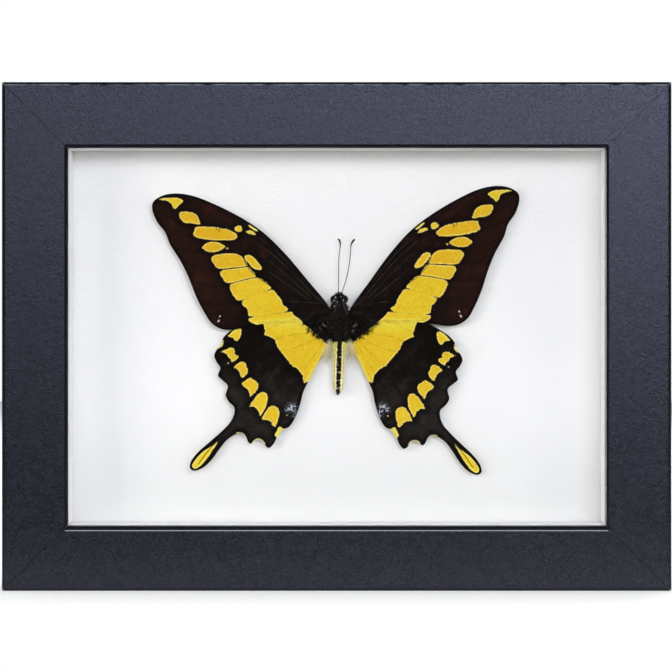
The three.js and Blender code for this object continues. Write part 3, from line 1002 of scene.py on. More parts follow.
FOREWING = WingPattern(
    outline=(
        (0, 0.2), (6.1, 8.9), (12.1, 17.1), (18.2, 23.9), (24.2, 28.6), (33.3, 34), (39.4, 36.7),
        (44.5, 37.6), (48.5, 37), (50.9, 35.4), (51.3, 33.4), (50.1, 29.4), (47.9, 26.1), (46.7, 22.4),
        (43.8, 17), (41.7, 11.8), (39.8, 5.8), (37.6, 0.8), (35.8, -2.3), (33.2, -4.2), (30, -4.8),
        (24.5, -4.1), (20.3, -3.6), (9.1, -3.5), (1.5, -3.9), (-0.7, -2),
    ),
    patches=(
        # row of spots from the tip inwards
        Patch(((41.8, 35), (42.7, 35.9), (44.2, 36.3), (46.4, 36.4), (47.9, 36.4), (49.1, 36.1),
            (47.9, 35.8), (46.5, 35.5), (45.5, 34.7), (45.1, 33.6), (44.5, 32.9), (43.8, 33.3),
            (42.9, 34.1)), 0.25),
        Patch(((37.1, 27.8), (37.4, 29.2), (37.9, 30.5), (39.1, 31.4), (40.6, 31.8), (43, 31.8),
            (43.3, 31.2), (42.9, 29.8), (41.8, 28.6), (39.7, 28.2), (37.9, 27.8)), 0.75),
        Patch(((26.1, 23.5), (27, 24.5), (28.5, 25.5), (30.9, 26.1), (32.4, 26.5), (33.9, 26.7), (36.7, 27),
            (38.5, 27), (38.9, 26.1), (39.4, 24.8), (38.5, 23.9), (36.4, 23.2), (33.6, 22.7), (30.3, 22.4),
            (27.9, 22.3), (26.7, 22.6)), 0.85),
        Patch(((30, 20.3), (30.8, 21.2), (32.4, 22), (34.8, 22.1), (36.1, 21.5), (37, 20.6), (36.1, 19.7),
            (34.5, 19.1), (32.4, 19.2), (30.9, 19.8)), 0.85),
        # band cells between the veins, from the tip end to the hind margin
        Patch(((23.8, 14.15), (24.2, 15.5), (25.5, 17.3), (26.4, 17.9), (28.5, 18.3), (31.5, 18.3),
            (33.6, 18), (34.5, 17.1), (33.9, 15.6), (33, 14.3), (31.8, 13.85), (27.7, 13.98)), 0.8),
        Patch(((23.4, 13.7), (27.5, 13.65), (31.4, 13.35), (32.1, 12.6), (31.5, 10.9), (30.5, 9.6),
            (29.4, 9.3), (26.8, 9.75), (24.2, 10.25), (21.4, 10.7), (22.4, 12.6)), 0.55),
        # last three cells run together, nicked at both ends of each vein
        Patch(((20.6, 10.35), (24.2, 10.05), (28.8, 9.1), (29.5, 8.3), (29.4, 7.3), (28.6, 5.6),
            (27.9, 4.5), (26.9, 3.75), (25.2, 4.1), (26.2, 3.3), (25.9, 2.4), (24.8, 1.4), (24.5, 0.3),
            (24.3, -0.9), (22.8, -1.25), (24.4, -1.8), (24.3, -2.5), (23.6, -3.1), (22.4, -3.6),
            (20.3, -4.4), (9.1, -4.5), (7.3, -4.9), (9.1, -3), (10.6, -1.8), (11.5, -0.6), (13.2, -0.45),
            (12.4, 0.4), (13.9, 1.8), (14.2, 3), (15.3, 4.8), (16.6, 6.4), (18.3, 6.25), (17, 7),
            (17.5, 7.7), (18.8, 9.1)), 0.35),
        # spot in the end of the cell
        Patch(((24.4, 17), (23.3, 17.5), (22.1, 17), (21.1, 15.9), (20.1, 14.5), (19.4, 13.3), (19.8, 12.8),
            (21.2, 12.9), (22.4, 13.8), (23.5, 15.2)), 0.65),
        # small marks by the leading edge
        Patch(((20.5, 23.3), (20.9, 24.1), (21.8, 24.7), (23, 24.9), (23.5, 24.5), (22.7, 23.9),
            (21.5, 23.5)), 0.0),
        Patch(((19.8, 24.5), (21.1, 25.6), (22.3, 26.5), (22.6, 26.3), (21.6, 25.3), (20.4, 24.4)), -0.2),
        Patch(((24.6, 25.9), (25.1, 26.5), (26.2, 26.4), (26.9, 25.6), (26.2, 24.8), (25.1, 24.5),
            (24.6, 25)), 0.35),
        Patch(((29.1, 19.9), (29.4, 20.2), (29.75, 19.9), (29.45, 19.6)), 0.6),
    ),
    veins=(
        ((1, 0.5), (5, 1.6), (11, 4.2), (16.6, 7.3), (20.9, 10.6), (23.7, 14), (24.9, 17.6), (25, 20.6),
            (24.4, 22.4)),
        ((1, 1.2), (7, 8), (13, 15), (19, 21), (22, 23.15), (24.6, 24.05), (27.4, 24.95), (30.6, 27.4),
            (36, 32.3), (41, 36.2)),
        ((14, 16.8), (20, 23.9), (22, 25.05), (24.2, 26.4), (28, 29), (31, 31.8)),
        ((30.6, 27.4), (36.2, 30.6), (40, 32.4), (43.6, 32.3), (46.2, 34.2), (50.8, 35.3)),
        ((24.4, 22.4), (25.5, 23.9), (28, 25.6), (31, 26.5), (34, 27.1), (38.6, 27.4), (43.6, 29.2),
            (50.8, 33.2)),
        ((25, 20.6), (30, 21.9), (37, 22.9), (43, 25.4), (48.8, 28)),
        ((24.9, 18.2), (30, 18.85), (37, 18.8), (46.2, 22)),
        ((23.6, 13.95), (27.5, 13.82), (31.8, 13.6), (38, 14.5), (43.6, 17)),
        ((21.2, 10.55), (24.2, 10.15), (29.7, 9.2), (35, 9), (41, 10.4)),
        ((25.6, 4), (27, 3.75), (32, 3.1), (39, 4)),
        ((23.4, -1.3), (26, -1.5), (30, -1.8), (36, -2)),
        ((8, 2.8), (12.1, -0.5), (13.4, -0.6)),
        ((16, 6.9), (17.8, 6.4)),
        ((31.0, 26.2), (31.6, 25.5), (31.5, 25.1)),
        ((32.4, 26.6), (32.2, 25.8)),
        ((1.5, -1.6), (5, -2.4), (8.4, -3)),
        ((24.4, -3), (27, -3.9), (30, -4.4)),
    ),
    creases=(
        ((17.8, 6.4), (21.2, 5.47), (25.6, 4)),
        ((13.4, -0.6), (18, -1), (23.4, -1.3)),
        ((8.4, -3), (14, -3.1), (20, -3.1), (24.4, -3)),
    ),
    streaks=(
        ((2.6, 4.2), (8, 11.6), (13.4, 18.2), (18, 22.6)),
        ((3.2, 4), (9, 11.4), (15, 18.3), (19.4, 22.2)),
        ((4.2, 3.8), (10, 10.9), (16, 17.2), (20.4, 20.8)),
        ((5.4, 3.6), (11.6, 10), (17.6, 15.8), (19.6, 17.4)),
        ((6, 2.8), (12, 7.6), (17, 11.8)),
        ((3, 1.4), (8.6, 2.2), (11.6, 2.6)),
    ),
    bare=(
        ((33, -0.3), (33.15, -0.55)),
        ((33.4, -1.6), (33.7, -2)),
    ),
    shift=((10, 6), (40, 18)),
)

HINDWING = WingPattern(
    outline=(
        # leading edge, under the forewing
        (0.9, 1.5), (4.5, 3.6), (10.6, 5.2), (16.7, 4.5), (20.6, 3.3), (24.2, 0.6),
        # outer margin with its three blunt teeth
        (27.3, -1.2), (30.3, -3.3), (31.8, -5.2), (31.9, -6.6), (33.1, -8), (34.1, -10.3), (33.3, -12.2),
        (32.1, -13.9), (32.7, -16.3), (31.5, -17.4), (29.6, -19.2), (30.1, -22), (29.1, -23.9),
        (27.4, -25.5), (27.3, -27.5),
        # tail
        (28.3, -30), (30.9, -33), (34, -36), (37.6, -39.5), (39.6, -42.4), (39.8, -44.4), (38.6, -45.1),
        (36.1, -44.2), (33.6, -41.8), (31.2, -38.2), (29.1, -35.4), (26.8, -33.7),
        # two teeth between the tail and the inner margin
        (24.7, -33), (23.4, -34.2), (22.8, -35.6), (21.9, -36.2), (20.8, -35.2), (19.5, -34.7),
        (18.1, -35.4), (17.3, -36.8), (16.3, -37.2), (14.9, -35.7), (14.1, -33.8), (12.4, -31.4),
        (10.8, -30.7),
        # inner margin, back up to the root
        (9.1, -28), (7.6, -23.5), (6.9, -20), (5.3, -16.2), (3.6, -12.4), (1.2, -7.6), (0, -5.3), (0.1, -2),
    ),
    patches=(
        # large base area, out past the inner margin and under the forewing
        Patch(((20.6, 3), (20.3, 1.2), (20, 0.3), (19.5, -1.2), (19.1, -2.4), (19.4, -3.2), (18.5, -3.6),
            (17.3, -4.1), (16.2, -4.8), (15.6, -5.9), (15.3, -6.8), (13.9, -8.5), (12.4, -10.2),
            (11.4, -11.4), (10.8, -12.1), (9.1, -13), (8.2, -13.9), (7.3, -15), (7.1, -16.2), (6.7, -17.3),
            (6.1, -16.9), (4.7, -17), (2.8, -12.6), (0.4, -7.8), (-0.6, -5.4), (0.6, -5.2), (1.5, -4.5),
            (3, -3), (4.8, -1.7), (6.1, -0.6), (7.6, 0.3), (9.5, 2.5), (12.5, 6), (18, 5.6)), 0.5),
        # row of spots along the outer margin
        Patch(((26.4, -2), (27.3, -1.8), (28.5, -2.4), (29.7, -3.6), (30.3, -4.4), (29.5, -4.5),
            (28.8, -4.7), (28, -5.6), (27.4, -5.6), (26.7, -4.5), (26.4, -3.3)), 0.4),
        Patch(((29.1, -7.7), (30, -8), (31.1, -8.6), (32.1, -9.1), (31.2, -9.4), (30.3, -9.8),
            (29.8, -10.6), (29.1, -11.1), (28.8, -12), (28.3, -11.8), (27.4, -11.2), (26.8, -10.5),
            (27, -9.9), (27.8, -9.7), (28, -8.6), (28.5, -7.9)), 0.5),
        Patch(((24.8, -12), (25.8, -11.8), (26.8, -12.3), (27.9, -13.2), (28, -13.6), (27, -14.1),
            (26.4, -14.7), (25.9, -15.8), (25.5, -16.7), (24.5, -15.9), (23.9, -15), (23.8, -14.1),
            (24.2, -13.3), (24.5, -12.4)), 0.6),
        Patch(((22.9, -16.4), (23.9, -17), (24.7, -17.6), (25.5, -18.5), (24.5, -19.3), (23.5, -20.1),
            (23, -20.9), (22.7, -22.1), (22, -21.5), (20.9, -20.1), (20.5, -19.1), (20.6, -18),
            (21.5, -17.3), (22.4, -16.7)), 0.55),
        Patch(((18.8, -20.5), (19.7, -20.8), (20.8, -21.8), (21.8, -23.2), (22.7, -24.7), (22.9, -25.1),
            (21.5, -25.1), (20.5, -25.8), (19.8, -26.8), (19.5, -27.7), (18.8, -26.8), (18, -25.1),
            (17.5, -23), (17.6, -21.8), (18, -20.9)), 0.4),
        Patch(((15.8, -24.5), (16.7, -24.8), (17.7, -26.1), (18.5, -27.6), (18.9, -28.8), (18.2, -28.8),
            (17.1, -28.9), (16.1, -29.5), (15.6, -30.3), (14.8, -30.8), (14.4, -29.5), (13.9, -27.6),
            (13.9, -25.9), (14.5, -25)), 0.45),
        Patch(((12.7, -31), (13.6, -30.7), (14.2, -31.8), (14.8, -33.2), (14.5, -33.6), (14.1, -34.1),
            (13.4, -33.4), (12.8, -32.4), (12.1, -31.5)), 0.3),
        # tail blade
        Patch(((31.7, -35.5), (32.9, -36.9), (34.3, -38), (36.1, -39.3), (37.6, -40.9), (38.8, -42.6),
            (39.2, -43.6), (38.9, -44.3), (38.2, -44.5), (36.8, -43.7), (35.6, -42.3), (34.3, -40.5),
            (33, -38.2), (32, -36.5)), 0.0),
        # speck beside the frosted crescent
        Patch(((11.3, -27.2), (11.55, -27.0), (11.75, -27.25), (11.5, -27.5)), 1.0),
        # pale fringes in the notches of the margin
        Patch(((31.6, -5.4), (32.2, -6.2), (32.6, -7.2), (33.4, -8.2), (32.6, -8), (31.6, -6.9)), -0.5),
        Patch(((17.6, -36), (18.4, -34.9), (19.7, -34.5), (20.8, -34.9), (21.4, -35.8), (19.6, -36)), -0.6),
        Patch(((23.4, -34.2), (24.2, -33.3), (25.3, -32.9), (26.5, -33.2), (25.2, -33.8)), -0.6),
    ),
    veins=(
        ((19.3, -2.2), (23, -3.6), (26.5, -5.7), (28.8, -6.4), (31.7, -6.1)),
        ((19.5, -5.8), (23, -8.8), (26.2, -11.5), (29.3, -12.9), (32.2, -14)),
        ((17.5, -9.5), (20.5, -12.6), (23.3, -15.6), (26, -18), (29.4, -20.4)),
        ((15, -12.2), (17.4, -15.8), (19.7, -19.6), (21.2, -21.2), (22.8, -23.4), (25.4, -26.2),
            (27.4, -28.6)),
        ((12.5, -15.5), (15, -20), (16.9, -23.4), (18.2, -26), (19.3, -28.4), (23, -31.2), (28.4, -33.2)),
        ((8.5, -14.4), (11.4, -21), (13.2, -27), (14.1, -30.2), (15.1, -32.6), (16.9, -36.6)),
        ((28.4, -33.2), (31.8, -35.8), (34.4, -38.7), (36.4, -41.6), (37.3, -43)),
        ((7, -17.2), (8, -21), (9, -25), (10.8, -30.2)),
    ),
    creases=(
        ((2, 0.4), (8, 1.6), (14, 0.6), (19.3, -2.2)),
        ((1.5, -1.4), (7, -2.4), (13, -3.4), (16, -4.6), (19.5, -5.8)),
        ((1.6, -2.4), (6, -5), (11.4, -7.2), (14.6, -8), (17.5, -9.5)),
        ((1.4, -3.2), (5, -7), (8.6, -10.4), (12, -13.6)),
        ((1.2, -4.2), (4, -8.6), (6.4, -12.6), (8.5, -15.6)),
        ((1.4, -5.8), (3.4, -10), (5.2, -13.6), (6.8, -17)),
        ((10.8, -7.6), (9.4, -9.2)),
    ),
    frost=(
        ((9.5, -24.4), (9.1, -25.3), (8.9, -26.3), (9.3, -27.4)),
        ((8.9, -24.6), (9.6, -23.6)),
        ((9.8, -24.7), (10.4, -23.9)),
        ((9.9, -25.2), (10.9, -24.2)),
        ((10.4, -25.4), (11.6, -24.9)),
        ((10.9, -25.7), (11.9, -25.7)),
        ((9.4, -26.0), (10.2, -25.5)),
    ),
    bare=(
        ((29.8, -12.35), (29.9, -12.45)),
    ),
    lemon=(-4.5, 1.5),
    shift=((16, -9), (19, -26)),
)


@dataclass
class Wing:
    """One spread wing: a thin double-faced sheet with raised veins, drawn from a pattern.

    Sizes in millimetres, angles in degrees. The gaps say how near the sheet's points may stand to the
    margin and to its lines, as shares of the spacing.
    """

    INSIDE_ONLY = 1
    MERGE_GAP = 0.01

    name: str
    pattern: WingPattern
    side: Side
    root: Point3
    turn: float
    stretch: float
    droop: float = 1.2
    spacing: float = 0.28
    thickness: float = 0.11
    vein_height: float = 0.075
    vein_width: float = 0.17
    sag: float = 0.06
    waviness: float = 0.12
    margin_gap: float = 0.35
    grid_gap: float = 0.5

    def sheet(self) -> tuple[np.ndarray, list[tuple[int, ...]]]:
        """Covers the outline with small triangles that follow every patch edge and vein.

        Returns:
            The points in the wing's own plane, in millimetres, and the triangles.
        """
        pattern, gap = self.pattern, self.spacing
        margin = through(pattern.outline, True, gap)
        lines = [(through(patch.outline, True, gap), True) for patch in pattern.patches]
        open_lines = (*pattern.veins, *pattern.creases, *pattern.streaks)
        lines += [(through(line, spacing=gap), False) for line in open_lines]
        low, high = margin.min(0), margin.max(0)
        rows, columns = np.arange(low[1], high[1], gap * math.sqrt(0.75)), np.arange(low[0], high[0], gap)
        grid = np.array([(x + (gap / 2) * (r % 2), y) for r, y in enumerate(rows) for x in columns])
        grid = grid[is_inside(grid, margin)]
        clear = distance_to(grid, margin, True)
        points, total = [margin], len(margin)
        edges = [(i, (i + 1) % total) for i in range(total)]
        for line, closed in lines:
            clear = np.minimum(clear, distance_to(grid, line, closed))
            held = is_inside(line, margin) & (distance_to(line, margin, True) > self.margin_gap * gap)
            count = len(line)
            steps = [(i, (i + 1) % count) for i in range(count if closed else count - 1)]
            edges += [(total + a, total + b) for a, b in steps if held[a] and held[b]]
            points.append(np.where(held[:, None], line, margin[0]))
            total += count
        points.append(grid[clear > self.grid_gap * gap])
        flat = [Vector(point) for point in np.concatenate(points).tolist()]
        made = delaunay_2d_cdt(flat, edges, [], self.INSIDE_ONLY, self.MERGE_GAP)
        return np.array([tuple(v) for v in made[0]]), [tuple(face) for face in made[2]]

    def fields(self, points: np.ndarray) -> dict[str, np.ndarray]:
        """Measures each point of the wing's plane against the pattern.

        Args:
            points: Points in the wing's own plane, in millimetres.

        Returns:
            The numbers that the wing's material reads, by name.
        """
        pattern = self.pattern
        yellow = np.full(len(points), -FAR_AWAY)
        tone = np.zeros(len(points))
        for patch in pattern.patches:
            loop = through(patch.outline, True, self.spacing)
            depth = distance_to(points, loop, True)
            depth = np.where(is_inside(points, loop), depth, -depth)
            tone = np.where(depth > yellow, patch.tone, tone)
            yellow = np.maximum(yellow, depth)
        fields = {"yellow": yellow, "tone": tone - 0.75 * eased(points[:, 1], *pattern.lemon)}
        marks = {
            "vein": pattern.veins,
            "crease": pattern.creases,
            "streak": pattern.streaks,
            "frost": pattern.frost,
            "bare": pattern.bare,
        }
        for name, lines in marks.items():
            away = [distance_to(points, through(line, spacing=self.spacing)) for line in lines]
            fields[name] = np.minimum.reduce(away) if away else np.full(len(points), FAR_AWAY)
        fields["edge"] = distance_to(points, through(pattern.outline, True, self.spacing), True)
        start, end = np.asarray(pattern.shift, float)
        fields["shift"] = (points - start) @ (end - start) / ((end - start) @ (end - start))
        return fields

    def relief(self, points: np.ndarray, fields: dict[str, np.ndarray]) -> np.ndarray:
        """Gives how far each point stands out of the wing's plane: veins up, membrane between them down.

        Args:
            points: Points in the wing's own plane, in millimetres.
            fields: Their distances to the veins and creases, by name.

        Returns:
            The heights, in millimetres.
        """
        lines = np.minimum(fields["vein"], fields["crease"] + 0.05)
        ridge = self.vein_height * np.exp(-((lines / self.vein_width) ** 2))
        hollow = self.sag * eased(lines, 0.15, 1.3)
        x, y = points.T
        wave = self.waviness * (np.sin(x / 6.1 + 0.4) * np.sin(y / 7.3 + 1.1) + 0.5 * np.sin((x + y) / 3.9))
        return ridge - hollow + wave * eased(np.linalg.norm(points, axis=1), 5, 25)

    def stand(self, points: np.ndarray, height: np.ndarray | float) -> np.ndarray:
        """Puts points of the wing's plane in their place in the frame.

        Args:
            points: Points in the wing's own plane, in millimetres.
            height: How far each stands out of the plane, towards the front.

        Returns:
            The places in the frame, in millimetres.
        """
        turn, droop = math.radians(self.turn), math.radians(self.droop)
        x, y = points.T
        out = self.stretch * (x * math.cos(turn) - y * math.sin(turn))
        up = self.stretch * (x * math.sin(turn) + y * math.cos(turn))
        return spots(
            self.root[0] + self.side.value * out * math.cos(droop),
            self.root[1] + out * math.sin(droop) - height,
            self.root[2] + up,
        )

    def build(self, dressing: Dressing) -> None:
        """Models the wing and dresses it.

        Args:
            dressing: Its material, body and slot.
        """
        points, faces = self.sheet()
        fields = self.fields(points)
        if self.side is Side.LEFT:
            faces = [face[::-1] for face in faces]
        piece = Bench.mesh_piece(f"{self.name}_scaled", self.stand(points, self.relief(points, fields)), faces)
        for name, values in fields.items():
            Bench.store(piece, name, values)
        Bench.smooth(Bench.apply(piece, "SOLIDIFY", thickness=self.thickness * MM, offset=0.0))
        normals = np.zeros(len(piece.data.vertices) * 3, np.float32)
        piece.data.vertices.foreach_get("normal", normals)
        Bench.store(piece, "under", normals[1::3] > 0.3)
        dressing.on(piece, [self.name])


# ---------------------------------------------------------------- hair


@dataclass(frozen=True)
class HairCut:
    """How a coat of hair is cut, in millimetres; spread and curl are shares of a strand's length."""

    shortest: float
    longest: float
    radius: float
    curl: float
    spread: float


class Hairs:
    """Strands grown from roots, each a tapered three-sided spike of two lengths and a point."""

    RINGS = ((0.0, 1.0), (0.55, 0.72))
    FACES = ((0, 2, 1), (0, 1, 4, 3), (1, 2, 5, 4), (2, 0, 3, 5), (3, 4, 6), (4, 5, 6), (5, 3, 6))
    CORNERS = 7

    def __init__(self, name: str, seed: int, cut: HairCut) -> None:
        """Starts an empty coat with its own random numbers.

        Args:
            name: The coat's name.
            seed: What its random numbers start from.
            cut: How it is cut.
        """
        self.name = name
        self.cut = cut
        self.random = np.random.default_rng(seed)
        self.strands: list[tuple[np.ndarray, np.ndarray, np.ndarray]] = []

    def add(self, roots: np.ndarray, ways: np.ndarray | Point3, shade: float = 0.5, stray: float = 0.5) -> None:
        """Plants strands at roots in millimetres, pointing along ways, with shades that stray about one."""
        shades = np.clip(shade + self.random.uniform(-stray, stray, len(roots)), 0, 1)
        self.strands.append((roots, np.broadcast_to(ways, roots.shape), shades))

    def on_ball(
        self, count: int, centre: Point3, half: Point3, back: float = math.inf
    ) -> tuple[np.ndarray, np.ndarray]:
        """Scatters points over an ellipsoid.

        Args:
            count: How many points.
            centre: The ellipsoid's middle.
            half: Its half sizes.
            back: The depth beyond which points are left out.

        Returns:
            The points and the outward directions there.
        """
        way = unit(self.random.normal(0, 1, (count, 3)))
        points = np.asarray(centre) + way * np.asarray(half)
        normals = unit(way / np.asarray(half))
        front = points[:, 1] < back
        return points[front], normals[front]

    def build(self, dressing: Dressing, comb: Point3 = (0, 0, -1)) -> None:
        """Makes the whole coat one mesh and dresses it; the strands' ends curl the way of the comb.

        Args:
            dressing: Its material, body and slot.
            comb: The way that the strands' ends curl.
        """
        roots, ways, shades = (np.concatenate(part) for part in zip(*self.strands))
        cut, count = self.cut, len(roots)
        ways = unit(unit(ways) + self.random.normal(0, cut.spread, (count, 3)))
        length = self.random.uniform(cut.shortest, cut.longest, count)[:, None]
        across = unit(np.cross(ways, self.random.normal(0, 1, (count, 3))))
        beside = np.cross(ways, across)
        bend = (np.asarray(comb, float) + self.random.normal(0, 0.35, (count, 3))) * length * cut.curl
        corners = []
        for share, girth in self.RINGS:
            middle = roots + ways * length * share + bend * share**2
            for angle in (0, math.tau / 3, 2 * math.tau / 3):
                arm = across * math.cos(angle) + beside * math.sin(angle)
                corners.append(middle + arm * cut.radius * girth)
        corners.append(roots + ways * length + bend)
        places = np.stack(corners, 1).reshape(-1, 3)
        faces = [tuple(self.CORNERS * hair + c for c in face) for hair in range(count) for face in self.FACES]
        piece = Bench.mesh_piece(self.name, places, faces)
        Bench.store(piece, "shade", np.repeat(shades, self.CORNERS))
        dressing.on(Bench.smooth(piece, 80))


# ---------------------------------------------------------------- the butterfly


@dataclass
class Body:
    """Head with its eyes, thorax and abdomen, and the hair on them. Sizes in millimetres."""

    x: float = 0.8
    y: float = 0.9
    thorax_z: float = 79.75
    thorax_half: Point3 = (2.8, 2.6, 6.1)
    head_z: float = 87.65
    head_half: Point3 = (1.6, 1.45, 1.42)
    collar_z: float = 85.1
    collar_half: Point3 = (2.2, 1.75, 2.0)
    eye_radius: float = 1.15
    eye_spread: float = 1.55
    eye_drop: float = 0.35
    palp_spread: float = 0.45
    palp_half: Point3 = (0.34, 0.36, 0.72)
    abdomen_top: float = 74.4
    abdomen_length: float = 16.3
    abdomen_radius: float = 1.68
    abdomen_x: float = 0.95
    abdomen_lean: float = 2.1
    flare: float = 0.34
    rings: int = 7
    steps_per_ring: int = 10
    sides: int = 40

    # white dots on the head and collar: place, and number of scales
    DOTS = (
        ((-0.3, 88.0), 9), ((2.1, 87.1), 8), ((-0.95, 86.9), 4), ((-0.8, 85.3), 5), ((0.3, 86.6), 3),
        ((1.5, 88.1), 4), ((3.0, 85.6), 3),
    )
    # pale lines down the head and collar
    TUFT_LINES = (
        ((-0.15, 86.5), (-0.45, 84.7), (-1.0, 82.9)),
        ((1.75, 86.3), (2.5, 84.7), (3.3, 82.9)),
        ((-0.3, 87.9), (-0.05, 88.05)),
        ((1.45, 87.1), (1.75, 87.0)),
        ((2.1, 86.3), (2.4, 86.0)),
        ((0.65, 86.4), (0.75, 85.2)),
    )
    # pale tufts beside the thorax: from, to, and number of strands
    SIDE_TUFTS = (
        ((-4.5, 79.8), (-3.3, 79.1), 26),
        ((-5.4, 79.0), (-4.6, 78.0), 12),
        ((6.2, 79.6), (4.9, 78.9), 24),
        ((5.4, 78.2), (4.8, 77.5), 18),
    )

    def shell(
        self,
        name: str,
        centre: Point3,
        half: Point3,
        rows: int,
        dressing: Dressing,
        waists: Sequence[Point3] = (),
        replaces: Sequence[str] = (),
    ) -> None:
        """Models one rounded piece of the body and dresses it.

        Args:
            name: Its name.
            centre: Its middle.
            half: Its half sizes.
            rows: How many rows of faces it has.
            dressing: Its material, body and slot.
            waists: Where it is narrowed: from one height to another, and by what factor.
            replaces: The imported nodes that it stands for.
        """
        Bench.clear()
        place = [c * MM for c in centre]
        bpy.ops.mesh.primitive_uv_sphere_add(segments=2 * rows, ring_count=rows, radius=MM, location=place)
        piece = bpy.context.object
        piece.name = name
        bpy.ops.transform.resize(value=half)
        Bench.settle(piece)
        for low, high, factor in waists:
            Bench.pick(piece)
            for vertex in piece.data.vertices:
                vertex.select = low * MM < vertex.co.z < high * MM
            bpy.ops.object.mode_set(mode="EDIT")
            bpy.ops.mesh.select_mode(type="VERT")
            bpy.ops.transform.resize(value=(factor, factor, 1), center_override=(self.x * MM, self.y * MM, 0))
            bpy.ops.object.mode_set(mode="OBJECT")
        dressing.on(Bench.smooth(piece), replaces)

    def shells(self, fur: Dressing, lens: Dressing) -> None:
        """Models the thorax, the collar behind the head, the head's capsule, its eyes and its palps.

        Args:
            fur: The dressing of all but the eyes.
            lens: The eyes' dressing.
        """
        x, y, z, width, depth, height = self.x, self.y, self.thorax_z, *self.thorax_half
        half = (width * 0.93, depth * 0.93, height + 0.5)
        waists = ((z + 3.9, z + 4.7, 0.93), (z - 5.2, z - 3.9, 0.95))
        self.shell("thorax_shell", (x, y, z + 0.2), half, 28, fur, waists, ["thorax"])
        waist = (self.collar_z + 0.6, self.collar_z + 1.1, 0.94)
        self.shell("collar_shell", (x, y + 0.1, self.collar_z), self.collar_half, 20, fur, [waist])
        self.shell("head_shell", (x, y, self.head_z), self.head_half, 24, fur, (), ["head"])
        ball = (self.eye_radius, self.eye_radius * 1.05, self.eye_radius * 1.1)
        for side in Side:
            name, way = side.name.lower(), side.value
            eye = (x + way * self.eye_spread, y - 0.05, self.head_z - self.eye_drop)
            self.shell(f"eye_{name}", eye, ball, 20, lens)
            palp = (x + way * self.palp_spread, y - 0.35, self.head_z + 0.85)
            self.shell(f"palp_{name}", palp, self.palp_half, 10, fur)

    def girth(self, share: float) -> float:
        """Gives the abdomen's radius a share of the way down: flared shoulders, full rings, then the taper.

        Args:
            share: How far down it is, from 0 at the top to 1 at the tip.

        Returns:
            The radius, in millimetres.
        """
        waist = 1 + self.flare * (1 - float(eased(np.array(share), 0.0, 0.2)))
        taper = 1 - 0.14 * max(0.0, share - 0.4) ** 2 / 0.36
        closing = math.sqrt(max(0.0, 1 - (max(0.0, share - 0.78) / 0.175) ** 2))
        nib = 0.3 * math.sqrt(max(0.0, 1 - (max(0.0, share - 0.88) / 0.125) ** 2))
        groove = 1 - 0.05 * (0.5 + 0.5 * math.cos(math.tau * share * self.rings)) ** 4
        return self.abdomen_radius * waist * taper * max(closing, nib, 0.05) * groove

    def abdomen(self, dressing: Dressing) -> None:
        """Models the abdomen by drawing a ring down its length, in and out at each segment.

        Args:
            dressing: Its material, body and slot.
        """
        x, y, z = self.abdomen_x * MM, self.y * MM, self.abdomen_top * MM
        steps = self.rings * self.steps_per_ring
        drop = self.abdomen_length / steps * MM
        Bench.clear()
        bpy.ops.mesh.primitive_circle_add(
            vertices=self.sides, radius=self.girth(0) * MM, fill_type="NGON", location=(x, y, z)
        )
        piece = bpy.context.object
        piece.name = "abdomen_ringed"
        with Bench.editing(Bench.settle(piece)):
            for step in range(1, steps + 1):
                bpy.ops.mesh.extrude_region_move(TRANSFORM_OT_translate={"value": (0, 0, -drop)})
                change = self.girth(step / steps) / self.girth((step - 1) / steps)
                bpy.ops.transform.resize(value=(change, change, 1), center_override=(x, y, z - drop * step))
        pivot = Matrix.Translation((x, y, z))
        piece.data.transform(pivot @ Matrix.Rotation(math.radians(self.abdomen_lean), 4, "Y") @ pivot.inverted())
        dressing.on(Bench.smooth(Bench.settle(piece)), ["abdomen"])

    def thorax_hair(self, dressing: Dressing) -> None:
        """Grows the long combed hair of the thorax and collar.

        Args:
            dressing: Its material, body and slot.
        """
        coat = Hairs("thorax_hair", 11, HairCut(0.8, 1.8, 0.044, 0.35, 0.38))
        down = np.array([0, -0.1, -1.0])
        centre = (self.x, self.y, self.thorax_z + 0.2)
        points, normals = coat.on_ball(3600, centre, self.thorax_half, self.y + 1.2)
        coat.add(points, normals * 0.55 + down, 0.34, 0.36)
        flank = np.abs(points[:, 0] - self.x) / self.thorax_half[0] > 0.75
        coat.add(points[flank], normals[flank] + np.array([0, -0.2, -0.6]), 0.45, 0.4)
        collar = (self.x, self.y + 0.1, self.collar_z)
        points, normals = coat.on_ball(1300, collar, self.collar_half, self.y + 0.9)
        coat.add(points, normals * 0.6 + down, 0.2, 0.3)
        coat.build(dressing)

    def thorax_locks(self, dressing: Dressing) -> None:
        """Grows the thick dark locks of the thorax's hind edge, then those of its sides.

        Args:
            dressing: Its material, body and slot.
        """
        hind_count, side_count = 70, 130
        locks = Hairs("thorax_locks", 15, HairCut(0.9, 1.8, 0.1, 0.12, 0.25))
        angle = locks.random.uniform(-1.15, 1.15, hind_count)
        across, along = np.sin(angle), np.cos(angle)
        roots = spots(self.x + 2.5 * across, self.y - 0.9 - 0.9 * along, self.thorax_z - 2.6 - 2.2 * along)
        locks.add(roots, spots(across, -0.1, -1.2 * along - 0.2), 0.1, 0.12)
        for side in Side:
            up = locks.random.uniform(-3.6, 4.6, side_count)
            out = 2.0 + 0.5 * np.sqrt(np.clip(1 - (up / 6) ** 2, 0, 1))
            deep = self.y - 0.6 - locks.random.uniform(0, 0.7, side_count)
            roots = spots(self.x + side.value * out, deep, self.thorax_z + up)
            locks.add(roots, (side.value, -0.05, -0.9), 0.2, 0.25)
        locks.build(dressing)

